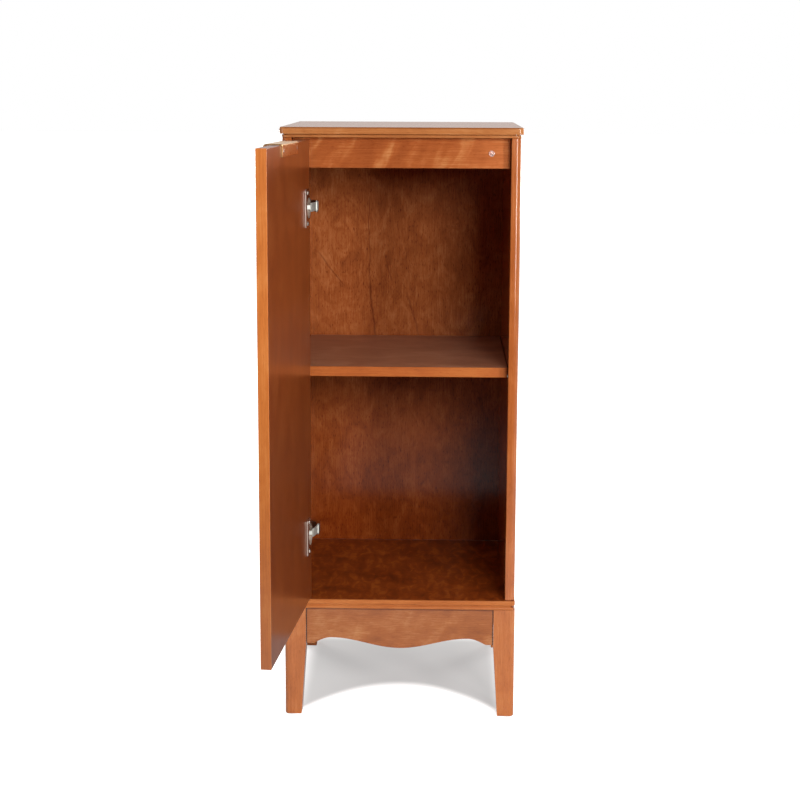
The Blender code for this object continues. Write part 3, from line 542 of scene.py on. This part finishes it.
@dataclass(frozen=True)
class DoorPlane:
    """The open door's inner face: where a distance from the hinge edge, a height and a reach out of it lie."""

    corner: Vector
    along: Vector
    outward: Vector

    # From the hinge's axis to the inner face's edge, with the door shut.
    EDGE_FROM_AXIS = (-7.7 * MM, 17.2 * MM, 0)

    @classmethod
    def from_joint(cls, joint: dict) -> "DoorPlane":
        """Works the plane out from the door's joint.

        Args:
            joint: the record's row for the door's hinge, whose angle is 0 with the door open.

        Returns:
            The plane of the inner face with the door open.
        """
        turn = Matrix.Rotation(-math.radians(joint["range_deg"][1]), 3, "Z")
        axis = Vector((joint["pos_m"][0], joint["pos_m"][1], 0))
        return cls(axis + turn @ Vector(cls.EDGE_FROM_AXIS), turn @ Vector((1, 0, 0)), turn @ Vector((0, 1, 0)))

    def point(self, distance: float, height: float, reach: float) -> Vector:
        """Returns the place at a distance from the hinge edge, at a height, and out of the face."""
        return self.corner + self.along * distance + self.outward * reach + Vector((0, 0, height))


@dataclass(frozen=True)
class CrossHeadScrew:
    """A screw's head with its cross recess, as one surface of rings and spokes."""

    radius: float = 3.6 * MM
    height: float = 1.5 * MM
    recess_width: float = 1.1 * MM
    recess_depth: float = 1.0 * MM
    rim_share: float = 0.45
    arm_share: float = 0.675
    inner_share: float = 0.04
    underside_share: float = 0.9
    rings: int = 14
    spokes: int = 40

    def mesh(self, name: str, seat: Vector, axis: Vector, turn: float) -> bpy.types.Mesh:
        """Builds the head where it sits.

        The grid's first parameter runs from the crown over the rim to the underside, and the second runs round the
        axis. The height above the seat is that of a flat dome less the recess. The dome is the rim's share of the
        height, plus the rest times one less the fourth power of the share of the radius. The recess is a cross: it
        is as deep as the nearer arm's distance allows, and shallower towards the ends of its arms.

        Args:
            name: the mesh's name.
            seat: the middle of the face that the head rests on.
            axis: the direction out of that face.
            turn: how far the cross is turned, in radians.

        Returns:
            The closed mesh, in place.
        """
        share = np.concatenate([np.linspace(self.inner_share, 1.0, self.rings - 2),
                                [1.0, self.underside_share]])[:, None]
        angle = np.linspace(0, math.tau, self.spokes, endpoint=False)[None, :]
        across, up = share * np.cos(angle), share * np.sin(angle)
        arm = np.minimum(np.abs(across), np.abs(up)) * self.radius
        reach = np.maximum(np.abs(across), np.abs(up))
        cross = np.clip(1 - arm / self.recess_width, 0, 1) ** 0.5 * np.clip(2 * self.arm_share - 2 * reach, 0, 1)
        dome = self.rim_share + (1 - self.rim_share) * (1 - share ** 4)
        level = self.height * dome - self.recess_depth * cross
        level = np.broadcast_to(level, across.shape).copy()
        level[-2:] = 0.0
        side = axis.orthogonal().normalized()
        side = Matrix.Rotation(turn, 3, axis) @ side
        other = axis.cross(side)
        basis = np.array([side, other, axis.normalized()])
        local = np.stack([across * self.radius, up * self.radius, level], axis=-1).reshape(-1, 3)
        crown = [[0, 0, self.height - self.recess_depth], [0, 0, 0]]
        points = np.concatenate([local, crown]) @ basis + np.array(seat)
        made = bpy.data.meshes.new(name)
        made.from_pydata(points.tolist(), [], ring_faces(share.shape[0], self.spokes))
        made.shade_smooth()
        made.set_sharp_from_angle(angle=math.radians(40))
        return made


def ring_faces(rings: int, spokes: int) -> list[tuple[int, ...]]:
    """Lists the faces of a closed grid of rings, whose two poles are its last two points.

    Each quad joins neighbours on two rings, and a fan joins the first ring to one pole and the last to the other.

    Args:
        rings: the number of rings.
        spokes: the number of points on a ring.

    Returns:
        The faces, facing outwards.
    """
    ring = np.arange(rings * spokes).reshape(rings, spokes)
    after = np.roll(ring, -1, axis=1)
    quads = np.stack([ring[:-1], ring[1:], after[1:], after[:-1]], axis=-1).reshape(-1, 4)
    first, last = rings * spokes, rings * spokes + 1
    crown = np.stack([ring[0], after[0], np.full(spokes, first)], axis=-1)
    foot = np.stack([after[-1], ring[-1], np.full(spokes, last)], axis=-1)
    return [tuple(face) for part in (quads, crown, foot) for face in part.tolist()]


def add_piece(name: str, mesh: bpy.types.Mesh, material: bpy.types.Material, body: str) -> bpy.types.Object:
    """Adds a new piece to the cabinet, on the body that it moves with.

    Args:
        name: the piece's name.
        mesh: its mesh, already in place.
        material: its finish.
        body: the body that carries it.

    Returns:
        The new object.
    """
    piece = bpy.data.objects.new(name, mesh)
    bpy.context.scene.collection.objects.link(piece)
    mesh.materials.append(material)
    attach(piece, body)
    LOG.info("added %s on %s in %s", name, body, material.name)
    return piece


def dress(node: str, material: bpy.types.Material) -> None:
    """Gives a flat-sided node of the frame its finish.

    Args:
        node: the node's name.
        material: its finish.
    """
    mesh = frame["nodes"][node].data
    mesh.materials.clear()
    mesh.materials.append(material)
    LOG.info("dressed %s in %s", node, material.name)


def round_off(node: str, material: bpy.types.Material, crease: float = 32.0) -> None:
    """Stands a merged copy in for a node, whose rounded edges and bends shine as one smooth surface.

    The copy keeps the node's points and faces. Points closer than a thousandth of a millimetre become one, the
    shading is smooth where two faces meet at less than the crease, and each point's normal leans to its largest
    face, so that the flat faces stay flat up to where the rounding starts.

    Args:
        node: the node that the copy replaces.
        material: its finish.
        crease: the angle in degrees from which an edge stays sharp.
    """
    source = frame["nodes"][node].data
    places = np.empty(len(source.vertices) * 3, np.float32)
    source.vertices.foreach_get("co", places)
    ends = np.empty(len(source.loops), np.int32)
    source.loops.foreach_get("vertex_index", ends)
    places = places.reshape(-1, 3)
    _, first, index = np.unique(np.round(places / MERGE_DISTANCE).astype(np.int64), axis=0, return_index=True,
                                return_inverse=True)
    faces = index.reshape(-1)[ends].reshape(-1, 3)
    faces = faces[(faces != np.roll(faces, 1, axis=1)).all(axis=1)]
    made = bpy.data.meshes.new(f"{node}_finished")
    made.from_pydata(places[first].tolist(), [], faces.tolist())
    made.shade_smooth()
    made.set_sharp_from_angle(angle=math.radians(crease))
    piece = add_piece(f"{node}_finished", made, material, frame["nodes"][node]["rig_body"])
    lean = piece.modifiers.new("flat faces stay flat", "WEIGHTED_NORMAL")
    lean.mode, lean.weight, lean.keep_sharp = "FACE_AREA", 50, True
    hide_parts(node)


# The sides' front edges, paler than their veneer; and the top's front arris, painted darker as painted shade.
EDGE_TONES = Tones("823C16", "B0602E", "D08650")
SHADED_ARRIS = Zone(Tones("6A3412", "925326", "A8703A"), (0, -math.sqrt(0.5), math.sqrt(0.5)), 694.4 * MM,
                  0.4 * MM)
APRON_TONES = Tones("682E10", "9E5828", "CC925C")


@dataclass
class Carcass:
    """The case: top, floor, sides, back, rails, shelf and its pins."""

    top: LacqueredCherry = LacqueredCherry("top veneer", Grain.ACROSS, Tones("8A4826", "B4703E", "D69A66"),
                                           thread_length=110 * MM, lacquer_roughness=0.09, lacquer_share=0.66,
                                           zones=(SHADED_ARRIS,))
    floor: LacqueredCherry = LacqueredCherry(
        "floor veneer", Grain.ACROSS, Tones("5A2208", "843A10", "A6581F"), Figure.RIPPLE, figure_depth=0.4,
        lacquer_roughness=0.4, lacquer_share=0.5,
        zones=(Zone(Tones("92481C", "B66832", "D08C50"), (0, -1, 0), 12 * MM),))
    # The sides' veneer is darker than their front edges: partly its own tone, partly painted shade on the shaded
    # inner faces.
    sides: LacqueredCherry = LacqueredCherry("side veneer", Grain.UPRIGHT, Tones("6A2C10", "964A1C", "BA703A"),
                                             lacquer_roughness=0.15, zones=(Zone(EDGE_TONES, (0, -1, 0), 1 * MM),))
    back: LacqueredCherry = LacqueredCherry(
        "back veneer", Grain.UPRIGHT, Tones("642D16", "9F552A", "CA8350"), Figure.EYE, figure_depth=0.08,
        eye=(-0.112, 0.752),
        veins=(Vein((-0.0545, 0.585), (-0.0636, 0.668), 0.72),
               Vein((-0.0636, 0.668), (-0.0650, 0.825), 0.5, 1.1 * MM),
               Vein((0.0245, 0.583), (0.0061, 0.650), 0.4),
               Vein((-0.1153, 0.678), (-0.1512, 0.725), 0.5),
               Vein((-0.0251, 0.684), (-0.0354, 0.722), 0.35)),
        thread_width=1.2 * MM, thread_length=40 * MM, thread_depth=0.65, pore_width=1.0 * MM, pore_depth=0.3,
        patch_size=26 * MM, patch_swirl=1.2, lacquer_roughness=0.16, lacquer_share=0.5,
        # Painted shade: the back is darker towards the bottom of the lower compartment, where less light reaches.
        zones=(Zone(Tones("4E1A07", "7E360F", "A05628"), (0, 0, -1), -430 * MM, 190 * MM),))
    rail: LacqueredCherry = LacqueredCherry(
        "rail veneer", Grain.ACROSS, Tones("7E3A1A", "AE5E30", "D8965C"), Figure.FLAME,
        zones=(Zone(Tones("924624", "C4703E", "EEAC72"), (1, 0, 0), 115 * MM, 45 * MM),))
    shelf: LacqueredCherry = LacqueredCherry(
        "shelf veneer", Grain.ACROSS, Tones("724232", "A46C50", "C49478"), lacquer_roughness=0.36, lacquer_share=0.7,
        zones=(Zone(Tones("8A441A", "B05C26", "CC7C3A"), (0, -1, 0), -11.3 * MM),))
    hidden: LacqueredCherry = LacqueredCherry("plain hidden wood", Grain.ACROSS, Tones("5E3320", "7E4A2E", "9A6240"),
                                              lacquer_roughness=0.4)

    def build(self, plate: bpy.types.Material) -> None:
        """Dresses the case's boards and pins.

        Args:
            plate: the finish of the shelf pins.
        """
        round_off("top_board", self.top.material())
        round_off("base_board", self.floor.material())
        sides = self.sides.material()
        for side in ("left", "right"):
            round_off(f"side_{side}", sides)
        dress("back_panel", self.back.material())
        dress("top_rail", self.rail.material())
        dress("shelf", self.shelf.material())
        hidden = self.hidden.material()
        dress("rear_rail", hidden)
        for end in ("front", "rear"):
            for side in ("left", "right"):
                dress(f"corner_block_{end}_{side}", hidden)
                round_off(f"shelf_pin_{end}_{side}", plate)


@dataclass
class Stand:
    """The four legs and the aprons between them."""

    leg: LacqueredCherry = LacqueredCherry("leg wood", Grain.UPRIGHT, Tones("86421C", "B46632", "CE8A52"))
    apron: LacqueredCherry = LacqueredCherry(
        "apron wood", Grain.ACROSS, APRON_TONES, Figure.FLAME, thread_length=25 * MM, figure_depth=0.1,
        # Painted shade at the apron's ends, where it meets the legs.
        joints=(-0.1529, 0.1541),
        # Painted shadow: the apron's top strip, under the base board's overhang, is darker.
        zones=(Zone(Tones("4A1E0A", "743A18", "905630"), (0, 0, 1), 180.6 * MM, 0.6 * MM),))
    side_apron: LacqueredCherry = LacqueredCherry("side apron wood", Grain.DEPTH, APRON_TONES)

    def build(self) -> None:
        """Dresses the legs and aprons."""
        leg = self.leg.material()
        for end in ("front", "rear"):
            for side in ("left", "right"):
                round_off(f"leg_{end}_{side}", leg)
        apron = self.apron.material()
        dress("front_apron", apron)
        dress("rear_apron", apron)
        side_apron = self.side_apron.material()
        dress("left_apron", side_apron)
        dress("right_apron", side_apron)


@dataclass
class Door:
    """The door, its edge pull and the pull's screws.

    The door's face is painted darker below a height, over the blend to both sides of it: painted shade, as less
    light reaches its lower part. The strip on the free edge is paler, and its lower part is painted darker in the
    same way.
    """

    plane: DoorPlane
    tones: Tones = Tones("612811", "873F18", "A15A2D")
    shaded_foot_tones: Tones = Tones("56220E", "773714", "8F5028")
    edge_tones: Tones = Tones("9C4C1C", "CC7434", "E69C5A")
    shaded_edge_foot_tones: Tones = Tones("7B3816", "A85D27", "C18147")
    shaded_foot_top: float = 560 * MM
    shaded_foot_blend: float = 60 * MM
    width: float = 339.8 * MM
    edge_strip: float = 0.8 * MM
    edge_slope: float = 0.004
    shaded_edge_foot_top: float = 435 * MM
    shaded_edge_foot_blend: float = 185 * MM
    brass: PlatedMetal = PlatedMetal("satin brass sheet", "E2B47C", 0.38, 0.7)
    pull_screws: tuple[float, ...] = (0.116, 0.224)
    pull_screw_height: float = 0.9365
    pull_seat: float = 1.3 * MM
    pull_screw_turn: float = 0.4
    screw: CrossHeadScrew = CrossHeadScrew(radius=2.6 * MM, height=1.0 * MM, recess_width=0.8 * MM,
                                           recess_depth=0.7 * MM)

    def build(self, plate: bpy.types.Material) -> None:
        """Dresses the door and its pull, and drives the pull's screws.

        A zone runs in one direction, so the painted shade at the foot of the edge strip is a zone whose direction
        leans down a little from the strip's own.

        Args:
            plate: the finish of the screws.
        """
        along = self.plane.along
        end = along.dot(self.plane.corner) + self.width
        # Painted shade: the door's face and its edge strip grow darker towards the floor.
        foot = Zone(self.shaded_foot_tones, (0, 0, -1), -self.shaded_foot_top, self.shaded_foot_blend)
        edge = Zone(self.edge_tones, tuple(along), end - self.edge_strip)
        shaded_edge_foot = Zone(self.shaded_edge_foot_tones, (along.x, along.y, -self.edge_slope),
                         end - self.edge_slope * self.shaded_edge_foot_top, self.edge_slope * self.shaded_edge_foot_blend)
        panel = LacqueredCherry("door veneer", Grain.UPRIGHT, self.tones, pore_depth=0.1, lacquer_roughness=0.28,
                                lacquer_ior=1.62, zones=(foot, edge, shaded_edge_foot))
        round_off("door_panel", panel.material())
        round_off("edge_pull", self.brass.material())
        for number, distance in enumerate(self.pull_screws, 1):
            name = f"pull_screw_{number}"
            seat = self.plane.point(distance, self.pull_screw_height, self.pull_seat)
            head = self.screw.mesh(name, seat, self.plane.outward, self.pull_screw_turn * number)
            add_piece(name, head, plate, "door")


@dataclass
class Hinges:
    """The two concealed hinges and their screws."""

    plane: DoorPlane
    side_face: float
    heights: dict[str, float]
    cup_centre: float = 20.2 * MM
    wing_offset: float = 9.5 * MM
    wing_spacing: float = 24 * MM
    flange_seat: float = 2.5 * MM
    plate_depth: float = 52.596 * MM
    plate_spacing: float = 17 * MM
    plate_seat: float = 2.5 * MM
    flange_screw_turn: float = 0.5
    plate_screw_turn: float = 0.9
    screw: CrossHeadScrew = CrossHeadScrew()
    cup: PlatedMetal = PlatedMetal("nickel-plated cup", "DCCCC0", 0.46)
    link: PlatedMetal = PlatedMetal("satin nickel link", "D4D4CC", 0.6, 1.0)
    arm: PlatedMetal = PlatedMetal("polished nickel arm", "948C84", 0.28)

    def build(self, plate: bpy.types.Material) -> None:
        """Dresses the hinges, and drives the screws of the flanges and of the mounting plates.

        Args:
            plate: the finish of the mounting plates and the screws.
        """
        finishes = {"cup": self.cup.material(), "link": self.link.material(), "arm": self.arm.material(),
                    "plate": plate}
        for place, height in self.heights.items():
            for part, finish in finishes.items():
                round_off(f"hinge_{part}_{place}", finish)
            for end, sign in (("top", 1), ("bottom", -1)):
                name = f"flange_screw_{place}_{end}"
                seat = self.plane.point(self.cup_centre + self.wing_offset, height + sign * self.wing_spacing,
                                        self.flange_seat)
                head = self.screw.mesh(name, seat, self.plane.outward, self.flange_screw_turn + sign)
                add_piece(name, head, plate, "door")
                name = f"plate_screw_{place}_{end}"
                seat = Vector((self.side_face + self.plate_seat, self.plate_depth,
                               height + sign * self.plate_spacing))
                head = self.screw.mesh(name, seat, Vector((1, 0, 0)), self.plate_screw_turn - sign)
                add_piece(name, head, plate, "cabinet")


@dataclass(frozen=True)
class FloorPaint:
    """Matt white floor paint, which has no shine and takes the cabinet's soft shadow.

    It looks white to the camera and through clear things where no shadow lies. Under the cabinet, between the
    flanks, before the rear and behind an arch across the front, both the paint and that white are painted weaker: a
    painted shadow over the real one. Glossy surfaces see the paint, and a painted glow that only they see, behind
    the cabinet and in a band before it, where a studio's white sheets would stand; the paint is dark near the
    camera. Places and reaches are in metres, each from its first to its second value.
    """

    name: str = "matt white floor paint"
    colour: str = "E9E7E5"
    arch_bend: float = 4.4
    arch: tuple[float, float] = (0.105, 0.15)
    flanks: tuple[float, float] = (0.15, 0.21)
    rear: tuple[float, float] = (0.34, 0.42)
    shaded_white: float = 0.36
    shaded_paint: float = 0.42
    near: tuple[float, float] = (-1.0, -0.35)
    near_paint: float = 0.03
    behind: tuple[float, float] = (0.5, 1.5)
    behind_level: float = 0.4
    before: tuple[float, float] = (-3.0, 0.0)
    before_levels: tuple[tuple[float, float], ...] = ((0.43, 0.0), (0.55, 0.75), (0.78, 0.75), (0.85, 0.1))

    def clear(self, tree: bpy.types.NodeTree, side: bpy.types.NodeSocket,
              depth: bpy.types.NodeSocket) -> bpy.types.NodeSocket:
        """Tells where the floor is clear of the painted shadow under the cabinet.

        The arch is where the depth, plus the bend times the square of the place across, has one value.

        Args:
            tree: the material's node tree.
            side: the place across the cabinet.
            depth: the place along its depth.

        Returns:
            A level from 0 in the painted shadow to 1 clear of it.
        """
        square = add_node(tree, "ShaderNodeMath", {0: side, 1: side}, operation="MULTIPLY").outputs[0]
        bent = add_node(tree, "ShaderNodeMath", {0: square, 1: self.arch_bend, 2: depth},
                        operation="MULTIPLY_ADD").outputs[0]
        front = add_node(tree, "ShaderNodeMapRange", {0: bent, 1: self.arch[0], 2: self.arch[1], 3: 1.0, 4: 0.0},
                         interpolation_type="SMOOTHSTEP").outputs[0]
        off = add_node(tree, "ShaderNodeMath", {0: side}, operation="ABSOLUTE").outputs[0]
        level = front
        for value, (first, last) in ((off, self.flanks), (depth, self.rear)):
            past = add_node(tree, "ShaderNodeMapRange", {0: value, 1: first, 2: last},
                            interpolation_type="SMOOTHSTEP").outputs[0]
            level = add_node(tree, "ShaderNodeMath", {0: past, 1: level}, operation="MAXIMUM").outputs[0]
        return level

    def glow(self, tree: bpy.types.NodeTree, depth: bpy.types.NodeSocket,
             clear: bpy.types.NodeSocket) -> bpy.types.NodeSocket:
        """Works out how white the floor looks to the camera and to glossy surfaces, beyond its paint.

        Args:
            tree: the material's node tree.
            depth: the place along the cabinet's depth.
            clear: the level from 0 in the painted shadow to 1 clear of it.

        Returns:
            The strength of that white.
        """
        path = add_node(tree, "ShaderNodeLightPath").outputs
        direct = add_node(tree, "ShaderNodeMath", {0: path["Is Camera Ray"], 1: path["Is Transmission Ray"]},
                          operation="MAXIMUM").outputs[0]
        # Painted shadow: the camera's white is weaker in the arch under the cabinet.
        white = add_node(tree, "ShaderNodeMapRange", {0: clear, 3: self.shaded_white, 4: 1.0}).outputs[0]
        # Painted reflection: a glow that only glossy surfaces see, behind the cabinet and in a band before it.
        behind = add_node(tree, "ShaderNodeMapRange", {0: depth, 1: self.behind[0], 2: self.behind[1], 3: 0.0,
                                                       4: self.behind_level}).outputs[0]
        reach = add_node(tree, "ShaderNodeMapRange", {0: depth, 1: self.before[0], 2: self.before[1]}).outputs[0]
        before = add_node(tree, "ShaderNodeValToRGB", {0: reach}, stops=self.before_levels).outputs[0]
        glossy_only_glow = add_node(tree, "ShaderNodeMath", {0: behind, 1: before}, operation="MAXIMUM").outputs[0]
        mirror = add_node(tree, "ShaderNodeMath", {0: path["Is Glossy Ray"], 1: glossy_only_glow},
                          operation="MULTIPLY").outputs[0]
        return add_node(tree, "ShaderNodeMath", {0: direct, 1: white, 2: mirror},
                        operation="MULTIPLY_ADD").outputs[0]

    def material(self) -> bpy.types.Material:
        """Builds the material.

        Returns:
            The new material.
        """
        made, tree, shader = start_material(self.name)
        place = add_node(tree, "ShaderNodeTexCoord").outputs["Object"]
        side, depth = add_node(tree, "ShaderNodeSeparateXYZ", {0: place}).outputs[:2]
        clear = self.clear(tree, side, depth)
        near = add_node(tree, "ShaderNodeMapRange", {0: depth, 1: self.near[0], 2: self.near[1], 3: self.near_paint,
                                                     4: 1.0}).outputs[0]
        # Painted shadow: the paint is darker in the arch under the cabinet.
        shaded = add_node(tree, "ShaderNodeMapRange", {0: clear, 3: self.shaded_paint, 4: 1.0}).outputs[0]
        paint = add_node(tree, "ShaderNodeMath", {0: near, 1: shaded}, operation="MULTIPLY").outputs[0]
        colour = add_node(tree, "ShaderNodeMix", {0: paint, 6: (0.0, 0.0, 0.0, 1.0), 7: linear(self.colour)},
                          data_type="RGBA").outputs[2]
        tree.links.new(colour, shader.inputs["Base Color"])
        tree.links.new(self.glow(tree, depth, clear), shader.inputs["Emission Strength"])
        shader.inputs["Emission Color"].default_value = (1, 1, 1, 1)
        shader.inputs["Roughness"].default_value = 0.9
        shader.inputs["Specular IOR Level"].default_value = 0.0
        return made


@dataclass(frozen=True)
class Lamp:
    """A rectangular soft lamp: where it hangs, what it faces, its width and height, and its power in watts."""

    name: str
    place: tuple[float, float, float]
    target: tuple[float, float, float]
    size: tuple[float, float]
    power: float

    def hang(self) -> None:
        """Hangs the lamp, which the camera doesn't see."""
        lamp = bpy.data.lights.new(self.name, "AREA")
        lamp.shape = "RECTANGLE"
        lamp.size, lamp.size_y = self.size
        lamp.energy = self.power
        item = bpy.data.objects.new(self.name, lamp)
        bpy.context.scene.collection.objects.link(item)
        item.visible_camera = False
        item.location = self.place
        towards = Vector(self.target) - Vector(self.place)
        item.rotation_euler = towards.to_track_quat("-Z", "Y").to_euler()


LAMPS = (
    Lamp("key lamp", (0.75, -2.38, 1.41), (0.0, 0.0, 0.55), (0.68, 0.65), 40.0),
    Lamp("side lamp", (1.62, -2.1, 0.9), (0.0, 0.0, 0.6), (0.3, 1.1), 30.0),
    Lamp("left lamp", (-2.0, -1.7, 0.9), (-0.1, 0.0, 0.5), (0.35, 1.1), 6.0),
    Lamp("overhead lamp", (0.2, -2.0, 2.3), (0.0, 0.1, 0.2), (2.2, 0.6), 3.5),
    Lamp("rear left lamp", (-2.2, 2.9, 1.1), (0.0, 0.15, 0.5), (1.2, 1.2), 70.0),
    Lamp("rear right lamp", (2.2, 2.9, 1.1), (0.0, 0.15, 0.5), (1.2, 1.2), 70.0),
)


@dataclass(frozen=True)
class Studio:
    """The pale floor, the soft lamps and the camera."""

    paint: FloorPaint = FloorPaint()
    floor_reach: float = 30.0
    floor_drop: float = 0.3 * MM
    focal_length: float = 72.44
    sensor: float = 36.0
    pitch: float = math.radians(-9.51)
    yaw: float = math.radians(1.30)
    roll: float = math.radians(-0.25)
    stand: tuple[float, float, float] = (0.061786, -2.540904, 1.0349)
    axis_right: float = 3.0
    axis_up: float = 48.6
    fill_level: float = 0.012
    ceiling_level: float = 0.9
    ceiling_edge: tuple[float, float] = (0.5, 0.85)
    room_level: float = 0.03
    rear_level: float = 0.8
    rear_edge: tuple[float, float] = (-0.15, 0.35)

    def build(self) -> None:
        """Builds the floor, the world, the lamps and the camera."""
        self.add_floor()
        self.light_world()
        for lamp in LAMPS:
            lamp.hang()
        self.add_camera()

    def add_floor(self) -> None:
        """Lays the pale floor, a hair below the feet."""
        reach, level = self.floor_reach, -self.floor_drop
        mesh = bpy.data.meshes.new("studio_floor")
        corners = [(-reach, -reach, level), (reach, -reach, level), (reach, reach, level), (-reach, reach, level)]
        mesh.from_pydata(corners, [], [(0, 1, 2, 3)])
        mesh.materials.append(self.paint.material())
        floor = bpy.data.objects.new("studio_floor", mesh)
        bpy.context.scene.collection.objects.link(floor)

    def light_world(self) -> None:
        """Makes the world white to look at, and a low even light on the cabinet.

        The low light grows towards the ceiling. Glossy surfaces see a dark room towards the camera and a bright one
        behind the cabinet.
        """
        world = bpy.data.worlds.new("pale studio")
        bpy.context.scene.world = world
        world.use_nodes = True
        tree = world.node_tree
        background = tree.nodes["Background"]
        background.inputs["Color"].default_value = (1, 1, 1, 1)
        path = add_node(tree, "ShaderNodeLightPath").outputs
        towards = add_node(tree, "ShaderNodeTexCoord").outputs["Generated"]
        depth, height = add_node(tree, "ShaderNodeSeparateXYZ", {0: towards}).outputs[1:]
        ceiling = add_node(tree, "ShaderNodeMapRange", {
            0: height, 1: self.ceiling_edge[0], 2: self.ceiling_edge[1], 3: self.fill_level,
            4: self.ceiling_level}).outputs[0]
        mirrored = add_node(tree, "ShaderNodeMapRange", {
            0: depth, 1: self.rear_edge[0], 2: self.rear_edge[1], 3: self.room_level, 4: self.rear_level}).outputs[0]
        direct = add_node(tree, "ShaderNodeMath", {0: path["Is Camera Ray"], 1: path["Is Transmission Ray"]},
                          operation="MAXIMUM").outputs[0]
        lit = add_node(tree, "ShaderNodeMix", {0: path["Is Glossy Ray"], 2: ceiling, 3: mirrored}).outputs[0]
        level = add_node(tree, "ShaderNodeMix", {0: direct, 2: lit, 3: 1.0}).outputs[0]
        tree.links.new(level, background.inputs["Strength"])

    def add_camera(self) -> None:
        """Stands the camera where the photograph was taken from."""
        camera = bpy.data.cameras.new("camera")
        camera.lens = self.focal_length
        camera.sensor_width = self.sensor
        camera.shift_x = -self.axis_right / IMAGE_SIDE
        camera.shift_y = -self.axis_up / IMAGE_SIDE
        camera.clip_start, camera.clip_end = 0.05, 200.0
        item = bpy.data.objects.new("camera", camera)
        bpy.context.scene.collection.objects.link(item)
        turn = (Matrix.Rotation(self.yaw, 3, "Z") @ Matrix.Rotation(self.pitch, 3, "X")
                @ Matrix.Rotation(self.roll, 3, "Y"))
        axes = Matrix((turn.col[0], turn.col[2], -turn.col[1])).transposed()
        item.matrix_world = Matrix.Translation(self.stand) @ axes.to_4x4()
        bpy.context.scene.camera = item


def clear_stage() -> None:
    """Removes what the new scene starts with, and keeps the frame."""
    kept = set(frame["nodes"].values()) | set(frame["bodies"].values())
    for item in list(bpy.data.objects):
        if item not in kept:
            bpy.data.objects.remove(item, do_unlink=True)


def main() -> None:
    """Builds the dressed cabinet and its studio."""
    logging.basicConfig(level=logging.INFO, format="%(message)s")
    clear_stage()
    bpy.context.scene.view_settings.view_transform = "Standard"
    joints = {joint["name"]: joint for joint in frame["joints"]}
    plane = DoorPlane.from_joint(joints["door_hinge"])
    heights = {place: joints[f"{place}_link_pivot"]["pos_m"][2] for place in ("upper", "lower")}
    plate = PlatedMetal("nickel-plated steel", "E4DED8", 0.3).material()
    Carcass().build(plate)
    Stand().build()
    Door(plane).build(plate)
    Hinges(plane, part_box("side_left")[1].x, heights).build(plate)
    round_off("door_bumper", ClearRubber().material())
    Studio().build()


if __name__ == "__main__":
    main()
